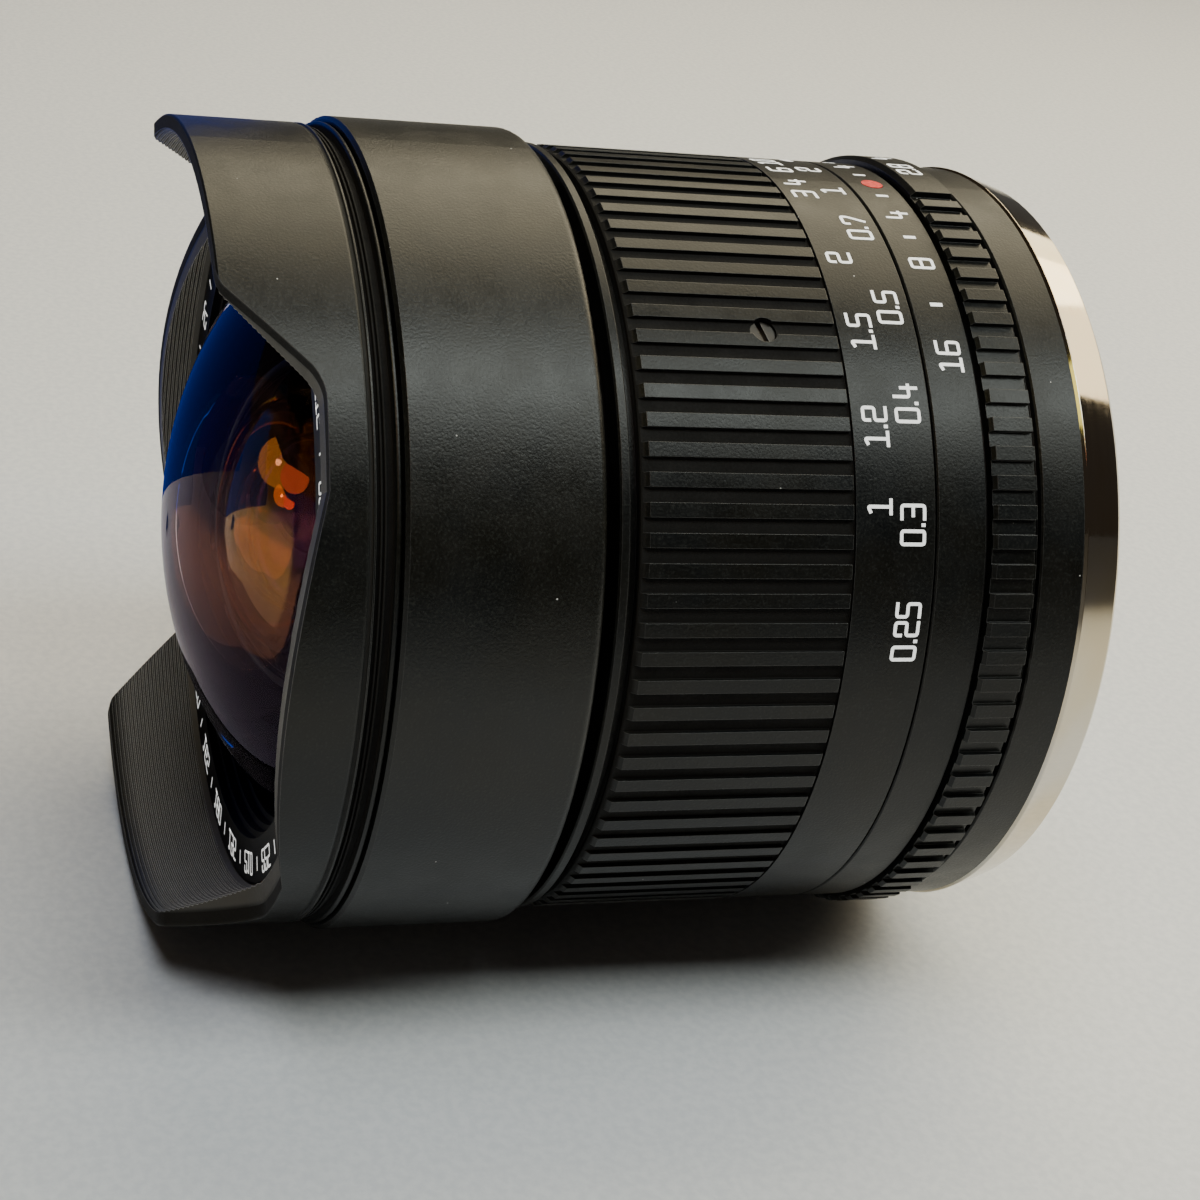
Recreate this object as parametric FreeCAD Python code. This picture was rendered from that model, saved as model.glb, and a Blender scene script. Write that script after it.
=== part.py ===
import FreeCAD, Part
import math
import os

# A manual ultra-wide fisheye lens with a fixed petal hood, a focusing helicoid and a seven-blade iris.
# Millimetres. The optical axis is the Y axis: the front glass looks towards -Y and the bayonet points to +Y.
# The origin is the centre of the mount's flange face, and +Z goes through the index mark.
# Lengths along the axis are given as "ahead": the distance in front of the flange face, so y = -ahead.
# Angles round the axis are measured from +Z towards +X.

os.makedirs("parts", exist_ok=True)

# Fits and gaps
fit = 0.03            # radial gap of a piece fixed inside another one
running = 0.05        # radial gap of a piece that turns or slides on another one
seam = 0.1            # gap between faces that turn past each other
glass_gap = 0.05      # radial gap round a glass element

# Outside radii
barrel_r = 35.0
hood_r = 34.3
focus_r = 33.8
focus_floor_r = 33.4
aperture_r = 34.5
aperture_floor_r = 34.05
tongue_r = 34.6
collar_r = 33.8
rear_collar_r = 33.9
clamp_r = 33.9

# Stations along the axis, ahead of the flange face
mount_front = 4.0
rear_collar_front = 7.9
aperture_rear = 8.6
aperture_rib_front = 12.5
aperture_front = 12.75
depth_scale_rear = 12.85
depth_scale_front = 17.25
focus_rear = 17.4
rib_rear = 24.4
rib_front = 42.22
focus_front = 42.35
clamp_rear = 43.35
clamp_front = 44.2
barrel_rear = 45.48
barrel_front = 61.3
hood_base = 64.1
name_face = 66.4
notch_front = 66.9
side_petal_front = 69.3
petal_front = 74.4

# Motions
focus_near_deg = 77.0       # turn from the pictured distance to the closest mark
focus_far_deg = 14.5        # turn from the pictured distance to infinity
extension_mm = 0.74         # travel of the optics over the whole turn
aperture_turn_deg = 42.0
stop_spare_deg = 0.6
rest_back_mm = extension_mm * focus_far_deg / (focus_near_deg + focus_far_deg)
rest_ahead_mm = extension_mm - rest_back_mm

# Ribs
rib_count = 90
rib_share = 0.49

axis_point = FreeCAD.Vector(0, 0, 0)
axis_dir = FreeCAD.Vector(0, 1, 0)


def place(radius, ahead, angle_deg=0.0):
    """Point at a radius and an angle round the axis, ahead of the flange face."""
    a = math.radians(angle_deg)
    return FreeCAD.Vector(radius * math.sin(a), -ahead, radius * math.cos(a))


def wire_of(steps):
    """Closed outline in the plane of +Z and the axis. A step is (radius, ahead), or (mid, end) for an arc."""
    edges = []
    start = last = place(*steps[0])
    for step in steps[1:]:
        if isinstance(step[0], tuple):
            mid, end = place(*step[0]), place(*step[1])
            edges.append(Part.Arc(last, mid, end).toShape())
        else:
            end = place(*step)
            edges.append(Part.LineSegment(last, end).toShape())
        last = end
    if (last - start).Length > 1e-7:
        edges.append(Part.LineSegment(last, start).toShape())
    return Part.Wire(edges)


def turned(steps, from_deg=0.0, sweep_deg=360.0):
    """Solid turned about the optical axis from an outline of (radius, ahead) steps."""
    face = Part.Face(wire_of(steps))
    solid = face.revolve(axis_point, axis_dir, sweep_deg)
    if from_deg:
        solid.rotate(axis_point, axis_dir, from_deg)
    return solid


def tube(inner, outer, low, high, from_deg=0.0, sweep_deg=360.0):
    """Ring or sector of a ring between two radii and two stations."""
    return turned([(inner, low), (outer, low), (outer, high), (inner, high)], from_deg, sweep_deg)


def axial_rod(radius, low, high, at_r, angle_deg):
    """Cylinder parallel to the optical axis."""
    return Part.makeCylinder(radius, high - low, place(at_r, low, angle_deg), FreeCAD.Vector(0, -1, 0))


def radial_rod(radius, inner, outer, ahead, angle_deg):
    """Cylinder square to the optical axis, from one radius out to another."""
    outward = place(1.0, 0.0, angle_deg)
    return Part.makeCylinder(radius, outer - inner, place(inner, ahead, angle_deg), outward)


def bar(inner, outer, width, low, high, angle_deg):
    """Flat-sided block between two radii, width across, at an angle round the axis."""
    corner = FreeCAD.Vector(-width / 2, -high, inner)
    block = Part.makeBox(width, high - low, outer - inner, corner)
    block.rotate(axis_point, axis_dir, angle_deg)
    return block


def spread(count, first_deg=0.0):
    """Equal angles round the axis."""
    return [first_deg + 360.0 * i / count for i in range(count)]


def joined(shapes):
    """One solid out of pieces that touch."""
    first, rest = shapes[0], shapes[1:]
    return first.fuse(rest).removeSplitter() if rest else first


def group(shapes):
    """Separate solids kept in one node."""
    return Part.makeCompound(shapes)


def save(node, shape):
    """Writes one node, and prints how many solids it has and their volume."""
    print(f"{node:22s} solids {len(shape.Solids)} volume {shape.Volume:10.2f} valid {shape.isValid()}")
    shape.exportStep(f"parts/{node}.step")


def cap_ahead(apex, radius, at_r):
    """Station of a glass surface at a distance from the axis. A positive radius bulges forward."""
    return apex - radius + math.copysign(math.sqrt(radius ** 2 - at_r ** 2), radius)


def cap_arc(apex, radius, from_r, to_r):
    """Arc step of a glass surface from one distance from the axis to another."""
    mid = (from_r + to_r) / 2
    return ((mid, cap_ahead(apex, radius, mid)), (to_r, cap_ahead(apex, radius, to_r)))


def element(front_apex, front_radius, back_apex, back_radius, edge_r, back_r=None, bevel=0.0):
    """Glass element turned from its two surfaces. back_r is where the rear hollow ends in a flat."""
    back_r = back_r or edge_r
    front_r = edge_r - bevel
    steps = [(0.0, front_apex), cap_arc(front_apex, front_radius, 0.0, front_r)]
    if bevel:
        steps.append((edge_r, cap_ahead(front_apex, front_radius, front_r) - bevel))
    rim_back = cap_ahead(back_apex, back_radius, back_r)
    steps.append((edge_r, rim_back))
    if back_r < edge_r:
        steps.append((back_r, rim_back))
    steps.append(cap_arc(back_apex, back_radius, back_r, 0.0))
    return turned(steps)


def screw(head_r, head_h, shank_r, length, base, direction, slot=0.35):
    """Slotted screw. base is the outer face of the head, and direction points into the work."""
    head = Part.makeCylinder(head_r, head_h, base, direction)
    shank = Part.makeCylinder(shank_r, length - head_h, base + direction * head_h, direction)
    body = head.fuse(shank)
    side = FreeCAD.Vector(0, 1, 0) if abs(direction.y) < 0.5 else FreeCAD.Vector(0, 0, 1)
    across = direction.cross(side)
    corner = FreeCAD.Vector(-1.1 * head_r, -slot / 2, -head_h * 0.4)
    blade = Part.makeBox(2.2 * head_r, slot, head_h * 0.8, corner)
    turn = FreeCAD.Rotation(across, side, direction, "ZXY")
    blade.Placement = FreeCAD.Placement(base, turn)
    return body.cut(blade)


def screw_hole(head_r, head_h, shank_r, length, base, direction):
    """Counterbored hole for the screw of the same sizes."""
    head = Part.makeCylinder(head_r + fit, head_h + seam, base - direction * seam, direction)
    shank = Part.makeCylinder(shank_r + fit, length + seam, base, direction)
    return head.fuse(shank)


# Glass: apex stations and radii of curvature, front to back
dome_apex, dome_radius, dome_edge_r, dome_bevel = 73.4, 36.9, 26.4, 0.8
dome_back_apex, dome_back_radius, dome_hollow_r = 70.6, 17.2, 16.4
second_apex, second_radius, second_edge_r = 63.0, 25.0, 15.4
second_back_apex, second_back_radius, second_hollow_r = 61.5, 10.6, 10.0
third_apex, third_radius, third_edge_r = 51.2, -45.0, 11.0
third_joint_apex, third_joint_radius = 50.0, 16.0
fourth_back_apex, fourth_back_radius = 42.6, -30.0
fifth_apex, fifth_radius, fifth_edge_r = 41.5, 20.0, 7.5
fifth_back_apex, fifth_back_radius = 38.0, -40.0
sixth_apex, sixth_radius, sixth_edge_r = 31.5, 22.0, 6.5
sixth_joint_apex, sixth_joint_radius = 27.8, -12.0
seventh_back = 26.6
eighth_apex, eighth_radius, eighth_edge_r = 23.4, -30.0, 8.0
eighth_joint_apex, eighth_joint_radius = 22.2, 14.0
ninth_back_apex, ninth_back_radius = 17.0, -20.0
tenth_apex, tenth_radius, tenth_edge_r = 14.6, 25.0, 9.5
tenth_joint_apex, tenth_joint_radius = 10.4, -30.0
eleventh_back_apex, eleventh_back_radius = 8.2, -60.0

dome_seat = cap_ahead(dome_back_apex, dome_back_radius, dome_hollow_r)
dome_rim = cap_ahead(dome_apex, dome_radius, dome_edge_r - dome_bevel)
second_seat = cap_ahead(second_back_apex, second_back_radius, second_hollow_r)
second_rim = cap_ahead(second_apex, second_radius, second_edge_r)
third_rim = cap_ahead(third_apex, third_radius, third_edge_r)
ninth_rim = cap_ahead(ninth_back_apex, ninth_back_radius, eighth_edge_r)

save("front_element", element(dome_apex, dome_radius, dome_back_apex, dome_back_radius,
                              dome_edge_r, dome_hollow_r, dome_bevel))
save("second_element", element(second_apex, second_radius, second_back_apex, second_back_radius,
                               second_edge_r, second_hollow_r))
save("third_element", element(third_apex, third_radius, third_joint_apex, third_joint_radius, third_edge_r))
save("fourth_element", element(third_joint_apex, third_joint_radius, fourth_back_apex, fourth_back_radius,
                               third_edge_r))
save("fifth_element", element(fifth_apex, fifth_radius, fifth_back_apex, fifth_back_radius, fifth_edge_r))
save("sixth_element", element(sixth_apex, sixth_radius, sixth_joint_apex, sixth_joint_radius, sixth_edge_r))


def plano_element(joint_apex, joint_radius, back, edge_r):
    """Glass element with a flat back."""
    front = cap_arc(joint_apex, joint_radius, 0.0, edge_r)
    return turned([(0.0, joint_apex), front, (edge_r, back), (0.0, back)])


save("seventh_element", plano_element(sixth_joint_apex, sixth_joint_radius, seventh_back, sixth_edge_r))
save("eighth_element", element(eighth_apex, eighth_radius, eighth_joint_apex, eighth_joint_radius,
                               eighth_edge_r))
save("ninth_element", element(eighth_joint_apex, eighth_joint_radius, ninth_back_apex, ninth_back_radius,
                              eighth_edge_r))
save("tenth_element", element(tenth_apex, tenth_radius, tenth_joint_apex, tenth_joint_radius, tenth_edge_r))
save("eleventh_element", element(tenth_joint_apex, tenth_joint_radius, eleventh_back_apex,
                                 eleventh_back_radius, tenth_edge_r))

# Front barrel and the optics barrel behind it
barrel_wall = 2.0
barrel_bore_r = barrel_r - barrel_wall
barrel_rounding = 0.8
barrel_chamfer = 0.3
shelf_rear = 50.0
shelf_front = 52.0
shelf_bore_r = 29.0
optics_flange_r = barrel_bore_r - 0.3
optics_flange_rear = 46.4
thread_r = 30.55
thread_rear = 26.6
slide_r = 26.4
slide_rear = 14.6
slide_bore_r = 24.6
wall_front = 42.0
wall_rear = 40.0
optics_mouth_r = 27.5
middle_spigot_r = 13.2

front_screw_pitch_r = 31.4
front_screw_head_r, front_screw_head_h = 1.2, 0.9
front_screw_shank_r, front_screw_length = 0.8, 6.2
cell_flange_front = 54.0
front_screw_angles = spread(3, 60.0)


def front_screw_base(angle_deg):
    """Outer face of a front cell screw's head."""
    return place(front_screw_pitch_r, cell_flange_front + front_screw_head_h, angle_deg)


backward = FreeCAD.Vector(0, 1, 0)
forward = FreeCAD.Vector(0, -1, 0)
front_screw_sizes = (front_screw_head_r, front_screw_head_h, front_screw_shank_r, front_screw_length)
front_holes = [screw_hole(*front_screw_sizes, front_screw_base(a), backward) for a in front_screw_angles]


def front_barrel():
    """Smooth outer barrel that travels with the optics."""
    corner = barrel_rounding * (1 - math.sqrt(0.5))
    outline = [
        (barrel_bore_r, barrel_front),
        (barrel_r - barrel_chamfer, barrel_front),
        (barrel_r, barrel_front - barrel_chamfer),
        (barrel_r, barrel_rear + barrel_rounding),
        ((barrel_r - corner, barrel_rear + corner), (barrel_r - barrel_rounding, barrel_rear)),
        (barrel_bore_r, barrel_rear),
        (barrel_bore_r, shelf_rear),
        (shelf_bore_r, shelf_rear),
        (shelf_bore_r, shelf_front),
        (barrel_bore_r, shelf_front),
    ]
    return turned(outline).cut(front_holes)


guide_key_width, guide_key_rear, guide_key_front = 3.0, 15.6, 20.6
guide_key_angles = [90.0, 270.0]
iris_screw_pitch_r, iris_screw_angles = 14.9, spread(3, 30.0)
iris_cover_rear, iris_cover_front = 33.2, 34.2
iris_rim_r = 17.0
iris_screw_sizes = (1.2, 0.7, 0.7, 8.9)
iris_screw_base = iris_cover_rear - iris_screw_sizes[1]
iris_holes = [
    screw_hole(*iris_screw_sizes, place(iris_screw_pitch_r, iris_screw_base, a), forward)
    for a in iris_screw_angles
]
middle_screw_pitch_r, middle_screw_angles = 14.7, spread(3, 90.0)
middle_flange_front = 43.2
middle_screw_sizes = (0.9, 0.6, 0.55, 2.9)
middle_screw_base = middle_flange_front + middle_screw_sizes[1]
middle_holes = [
    screw_hole(*middle_screw_sizes, place(middle_screw_pitch_r, middle_screw_base, a), backward)
    for a in middle_screw_angles
]


def optics_barrel():
    """Inner barrel: helicoid thread outside, keyed slide at the rear, and the wall that carries the cells."""
    outline = [
        (middle_spigot_r + fit, wall_front),
        (optics_mouth_r, wall_front),
        (optics_mouth_r, shelf_rear),
        (optics_flange_r, shelf_rear),
        (optics_flange_r, optics_flange_rear),
        (thread_r, optics_flange_rear),
        (thread_r, thread_rear),
        (slide_r, thread_rear),
        (slide_r, slide_rear),
        (slide_bore_r, slide_rear),
        (slide_bore_r, wall_rear),
        (middle_spigot_r + fit, wall_rear),
    ]
    keyway_front = guide_key_front + rest_back_mm + 0.9
    keyways = [
        bar(slide_bore_r - 1, slide_r + 1, guide_key_width + 2 * running, slide_rear - 1, keyway_front, a)
        for a in guide_key_angles
    ]
    return turned(outline).cut(keyways + front_holes + iris_holes + middle_holes)


save("front_barrel", front_barrel())
save("optics_barrel", optics_barrel())

# Cells, spacers and retaining rings
front_cell_r = 29.9
front_cell_flange_r = barrel_bore_r - 0.4
name_thread_r = 28.5
name_thread_rear = 62.7
name_flange_rear = 65.3
name_ring_r = 31.05
cell_wall_r = 28.6
second_wall_r = 18.6
second_ring_r = 17.0
retainer_gap = 0.1
name_steps = 4
name_step_width = 0.55


def front_cell():
    """Cup that holds the front and second elements."""
    outline = [
        (front_cell_r, name_flange_rear),
        (front_cell_r, cell_flange_front),
        (front_cell_flange_r, cell_flange_front),
        (front_cell_flange_r, shelf_front),
        (cell_wall_r - 0.6, shelf_front),
        (cell_wall_r - 0.6, dome_seat - 2.0),
        (second_wall_r, dome_seat - 2.0),
        (second_wall_r, second_seat - 1.0),
        (second_hollow_r + 0.6, second_seat - 1.0),
        (second_hollow_r + 0.6, second_seat),
        (second_edge_r + glass_gap, second_seat),
        (second_edge_r + glass_gap, second_rim),
        (second_ring_r + fit, second_rim),
        (second_ring_r + fit, dome_seat),
        (dome_edge_r + glass_gap, dome_seat),
        (dome_edge_r + glass_gap, name_thread_rear - 0.3),
        (name_thread_r + fit, name_thread_rear - 0.3),
        (name_thread_r + fit, name_flange_rear),
    ]
    return turned(outline).cut(front_holes)


def name_ring():
    """Threaded ring of the front element: steps round the glass, and a flat face towards the subject."""
    lip_r = dome_edge_r - dome_bevel - 0.1
    lip = cap_ahead(dome_apex, dome_radius, lip_r) + retainer_gap
    outline = [(lip_r, lip)]
    for i in range(name_steps):
        radius = lip_r + name_step_width * i
        ahead = lip + (name_face - lip) * (i + 1) / name_steps
        outline += [(radius, ahead), (radius + name_step_width, ahead)]
    outline += [
        (name_ring_r - 0.2, name_face),
        (name_ring_r, name_face - 0.2),
        (name_ring_r, name_flange_rear),
        (name_thread_r, name_flange_rear),
        (name_thread_r, name_thread_rear),
        (dome_edge_r + 0.1, name_thread_rear),
    ]
    return turned(outline)


def second_element_ring():
    """Retaining ring in front of the second element."""
    inner = second_edge_r - 0.2
    rear = cap_ahead(second_apex, second_radius, inner) + retainer_gap
    return tube(inner, second_ring_r, rear, dome_seat - 0.15)


middle_front = 53.1
third_ring_r = 12.0
fourth_seat_r = 9.6
fourth_seat = cap_ahead(fourth_back_apex, fourth_back_radius, fourth_seat_r) - 0.03
fifth_seat_r = 6.6
fifth_seat = cap_ahead(fifth_apex, fifth_radius, fifth_seat_r) + 0.03
fifth_rim = cap_ahead(fifth_back_apex, fifth_back_radius, fifth_edge_r)
fifth_seat_rear = cap_ahead(fifth_back_apex, fifth_back_radius, fifth_seat_r) - 0.03
fifth_ring_r = 9.0
middle_rear = 38.1


def middle_cell():
    """Cell of the cemented front pair and of the single element ahead of the iris."""
    ring_shelf = third_rim + fit
    outline = [
        (third_ring_r + fit, middle_front),
        (middle_spigot_r, middle_front),
        (middle_spigot_r, middle_flange_front),
        (middle_spigot_r + 2.8, middle_flange_front),
        (middle_spigot_r + 2.8, wall_front),
        (middle_spigot_r, wall_front),
        (middle_spigot_r, middle_rear),
        (fifth_ring_r + fit, middle_rear),
        (fifth_ring_r + fit, fifth_rim),
        (fifth_edge_r + glass_gap, fifth_rim),
        (fifth_edge_r + glass_gap, fifth_seat),
        (fifth_seat_r, fifth_seat),
        (fifth_seat_r, fifth_seat + 0.9),
        (fourth_seat_r, fourth_seat - 1.2),
        (fourth_seat_r, fourth_seat),
        (third_edge_r + glass_gap, fourth_seat),
        (third_edge_r + glass_gap, ring_shelf),
        (third_ring_r + fit, ring_shelf),
    ]
    return turned(outline).cut(middle_holes)


rear_cell_spigot_r = 9.0
rear_cell_shoulder_r = 10.6
rear_cell_neck_r = 9.6
rear_cell_r = 11.2
rear_cell_rear = 7.6
sixth_ring_r = 7.6
seventh_seat_r = 5.9
sixth_shelf = 30.6
eighth_seat = cap_ahead(eighth_apex, eighth_radius, eighth_edge_r) + 0.05


def rear_cell():
    """Stepped tube of the three cemented pairs behind the iris, screwed into the iris cover."""
    outline = [
        (sixth_ring_r, iris_cover_front),
        (rear_cell_spigot_r, iris_cover_front),
        (rear_cell_spigot_r, iris_cover_rear),
        (rear_cell_shoulder_r, iris_cover_rear),
        (rear_cell_shoulder_r, iris_cover_rear - 1.0),
        (rear_cell_neck_r, iris_cover_rear - 1.0),
        (rear_cell_neck_r, 21.6),
        (rear_cell_r, 20.0),
        (rear_cell_r, rear_cell_rear),
        (tenth_edge_r + glass_gap, rear_cell_rear),
        (tenth_edge_r + glass_gap, ninth_rim),
        (eighth_edge_r + glass_gap, ninth_rim),
        (eighth_edge_r + glass_gap, eighth_seat),
        (seventh_seat_r, eighth_seat),
        (seventh_seat_r, seventh_back),
        (sixth_edge_r + glass_gap, seventh_back),
        (sixth_edge_r + glass_gap, sixth_shelf),
        (sixth_ring_r, sixth_shelf),
    ]
    return turned(outline)


def sixth_element_ring():
    """Retaining ring ahead of the cemented pair behind the iris."""
    inner = sixth_edge_r - 0.8
    rear = cap_ahead(sixth_apex, sixth_radius, inner) + retainer_gap / 2
    return tube(inner, sixth_ring_r - fit, rear, rear + 0.7)


def rear_spacer():
    """Tube that keeps the two rear pairs apart."""
    inner = eighth_edge_r - 0.7
    front = cap_ahead(ninth_back_apex, ninth_back_radius, inner) - 0.05
    rear = cap_ahead(tenth_apex, tenth_radius, inner) + 0.05
    return tube(inner, tenth_edge_r + glass_gap - fit, rear, front)


def rear_element_ring():
    """Retaining ring behind the last element."""
    inner = tenth_edge_r - 0.9
    front = cap_ahead(eleventh_back_apex, eleventh_back_radius, inner) - 0.05
    return tube(inner, tenth_edge_r + glass_gap - fit, front - 0.75, front)


save("front_cell", front_cell())
save("name_ring", name_ring())
save("second_element_ring", second_element_ring())
save("front_cell_screws", group([screw(*front_screw_sizes, front_screw_base(a), backward)
                                 for a in front_screw_angles]))
save("middle_cell", middle_cell())
save("middle_cell_screws", group([
    screw(*middle_screw_sizes, place(middle_screw_pitch_r, middle_screw_base, a), backward)
    for a in middle_screw_angles]))
save("third_element_ring", tube(third_edge_r - 1.2, third_ring_r, third_rim + fit, middle_front))
save("fifth_element_ring", tube(fifth_seat_r, fifth_ring_r, middle_rear, fifth_seat_rear))
save("rear_cell", rear_cell())
save("sixth_element_ring", sixth_element_ring())
save("rear_spacer", rear_spacer())
save("rear_element_ring", rear_element_ring())

# Petal hood
hood_tip_wall = 1.2
hood_bore_r = 31.1
hood_spigot_rear = 58.0
hood_ridge_pitch = 0.342
hood_ridge_depth = 0.18
collar_floor_r = 33.55
collar_bead_rear, collar_bead_front = 61.5, 61.95
collar_bead_r, collar_bead_rise = 34.5, 0.2
collar_line_stations = (62.55, 62.88)
collar_line_width, collar_line_r = 0.13, 34.0
collar_band_rear, collar_band_front = 63.41, 63.95
collar_band_edge, collar_band_hollow = 0.14, 0.16
petal_half_width = 29.3         # half the long petals' width at their tips, across the lens
notch_outer = 24.5              # where a long petal's flank meets the notch, from the lens's middle plane
notch_inner = 17.7              # where the side petal's rise begins
petal_corner_r = 2.2


def hood_blank():
    """Hood before its rim is cut: a ridged mouth inside and a grooved collar outside."""
    spigot_r = barrel_bore_r - fit
    bead_shoulder_r = collar_bead_r - collar_bead_rise
    bead_middle = (collar_bead_rear + collar_bead_front) / 2
    band_middle = (collar_band_rear + collar_band_edge + collar_band_front) / 2
    outline = [
        (hood_bore_r, hood_spigot_rear),
        (spigot_r, hood_spigot_rear),
        (spigot_r, barrel_front),
        (collar_floor_r, barrel_front),
        (collar_floor_r, collar_bead_rear),
        (bead_shoulder_r, collar_bead_rear),
        ((collar_bead_r, bead_middle), (bead_shoulder_r, collar_bead_front)),
        (collar_floor_r, collar_bead_front),
    ]
    for rear in collar_line_stations:
        front = rear + collar_line_width
        outline += [(collar_floor_r, rear), (collar_line_r, rear)]
        outline += [(collar_line_r, front), (collar_floor_r, front)]
    outline += [
        (collar_floor_r, collar_band_rear),
        (hood_r, collar_band_rear),
        (hood_r, collar_band_rear + collar_band_edge),
        ((hood_r - collar_band_hollow, band_middle), (hood_r - 0.05, collar_band_front)),
        (hood_r, hood_base),
        (hood_r, petal_front - 0.15),
        (hood_r - 0.15, petal_front),
    ]
    mouth_r = hood_r - hood_tip_wall
    outline.append((mouth_r, petal_front))
    ridge_rear = name_face + 0.3
    ridges = int((petal_front - ridge_rear) / hood_ridge_pitch)
    for i in range(ridges):
        share = (i + 1) / ridges
        front = petal_front - hood_ridge_pitch * (i + 1)
        radius = mouth_r + (hood_bore_r + hood_ridge_depth - mouth_r) * share
        outline += [(radius + hood_ridge_depth, front + hood_ridge_pitch * 0.35), (radius, front)]
    outline.append((hood_bore_r, ridge_rear - 0.3))
    return turned(outline)


def rim_outline():
    """Edges of one side's notch, as seen from the side, and the closing lines ahead of the hood."""
    def spot(z, ahead):
        return FreeCAD.Vector(0, -ahead, z)

    def rounded(path, radii):
        """Edges of an open path with its inner corners rounded."""
        edges, last = [], path[0]
        for before, corner, after, radius in zip(path, path[1:], path[2:], radii):
            into, out = (corner - before).normalize(), (after - corner).normalize()
            turn = math.acos(max(-1.0, min(1.0, into.dot(out))))
            cut = radius * math.tan(turn / 2)
            start, end = corner - into * cut, corner + out * cut
            inward = (out - into).normalize()
            centre = corner + inward * math.hypot(radius, cut)
            middle = centre - inward * radius
            edges += [Part.LineSegment(last, start).toShape(), Part.Arc(start, middle, end).toShape()]
            last = end
        edges.append(Part.LineSegment(last, path[-1]).toShape())
        return edges

    far = spot((petal_half_width + hood_r) / 2, petal_front)
    half = [
        spot(notch_inner, notch_front),
        spot(notch_outer, notch_front),
        spot(petal_half_width, petal_front),
        far,
    ]
    crest = spot(0, side_petal_front)
    middle = [Part.Arc(spot(-notch_inner, notch_front), crest, spot(notch_inner, notch_front)).toShape()]
    flank = rounded(half, (petal_corner_r, petal_corner_r / 2))
    other = [edge.mirror(axis_point, FreeCAD.Vector(0, 0, 1)) for edge in flank]
    top = spot(far.z, petal_front + 5.0)
    low_far, low_top = spot(-far.z, petal_front), spot(-far.z, petal_front + 5.0)
    lid = [Part.LineSegment(far, top).toShape(), Part.LineSegment(top, low_top).toShape(),
           Part.LineSegment(low_top, low_far).toShape()]
    return Part.__sortEdges__(middle + flank + lid + other)


def radial_cutter(edges, near, far):
    """Solid between two distances from the middle plane. Its sides run along the radii of the lens."""
    def projected(edge, distance):
        """Edge of the hood's outside, seen from the axis and thrown onto a plane at a distance."""
        points = []
        for point in edge.discretize(9):
            slope = point.z / math.sqrt(hood_r ** 2 - point.z ** 2)
            points.append(FreeCAD.Vector(distance, point.y, distance * slope))
        curve = Part.BSplineCurve()
        curve.interpolate(points)
        return curve.toShape()

    def outline(distance):
        return Part.Wire(Part.__sortEdges__([projected(edge, distance) for edge in edges]))

    return Part.makeLoft([outline(near), outline(far)], True, True)


def petal_hood():
    """Fixed hood with two long petals above and below and two short ones at the sides."""
    cutter = radial_cutter(rim_outline(), hood_bore_r / 4, hood_r * 1.2)
    across = cutter.copy()
    across.rotate(axis_point, axis_dir, 180)
    return hood_blank().cut([cutter, across])


save("petal_hood", petal_hood())

# Iris: seven blades on fixed pivots, driven by grooves in a turning ring behind them
blade_count = 7
blade_inner_r = 5.5
blade_outer_r = 10.2
blade_thick = 0.06
blade_pitch = 0.1
blade_rear = 36.12
blade_tail_deg, blade_tip_deg = 18.5, 125.0
pivot_r = 11.2
blade_pin_r = 0.35
drive_behind_deg = 15.0
tab_outer_r = 11.8
tab_front_deg = 3.0
iris_smallest_r = 0.96
iris_bore_r = 13.6
iris_plate_rear, iris_plate_front = 37.0, 38.0
cam_rear, cam_front = 34.4, 35.9
cam_groove_depth = 0.8
blade_turn_deg = 2 * math.degrees(math.asin((blade_inner_r - iris_smallest_r) / (2 * pivot_r)))
lever_deg = 200.0
lever_width = 2.0
lever_foot_r = (11.1, 12.1)
lever_arm_r = (19.5, 20.5)
lever_arm_rear, lever_arm_front = 30.9, 32.2
lever_rear = 8.8


def iris_blade(index):
    """Blade with a pivot pin to the front and a drive pin to the rear."""
    low = blade_rear + blade_pitch * index
    high = low + blade_thick
    sweep = blade_tail_deg + blade_tip_deg
    plate = tube(blade_inner_r, blade_outer_r, low, high, -blade_tail_deg, sweep)
    tab = tube(blade_outer_r - 0.3, tab_outer_r, low, high, -blade_tail_deg, blade_tail_deg + tab_front_deg)
    pivot = axial_rod(blade_pin_r, low, iris_plate_front - 0.3, pivot_r, 0.0)
    drive = axial_rod(blade_pin_r, cam_front - cam_groove_depth + seam, high, pivot_r, -drive_behind_deg)
    blade = joined([plate, tab, pivot, drive])
    blade.rotate(axis_point, axis_dir, 360.0 * index / blade_count)
    return blade


def drive_pin_on_cam(turn_deg):
    """Angle and radius of the first blade's drive pin, as seen on the cam ring after it has turned."""
    pivot, pin = place(pivot_r, 0, 0), place(pivot_r, 0, -drive_behind_deg)
    turned_blade = FreeCAD.Rotation(axis_dir, blade_turn_deg * turn_deg / aperture_turn_deg)
    moved = pivot + turned_blade.multVec(pin - pivot)
    angle = math.degrees(math.atan2(moved.x, moved.z)) - turn_deg
    return math.hypot(moved.x, moved.z), angle


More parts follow.
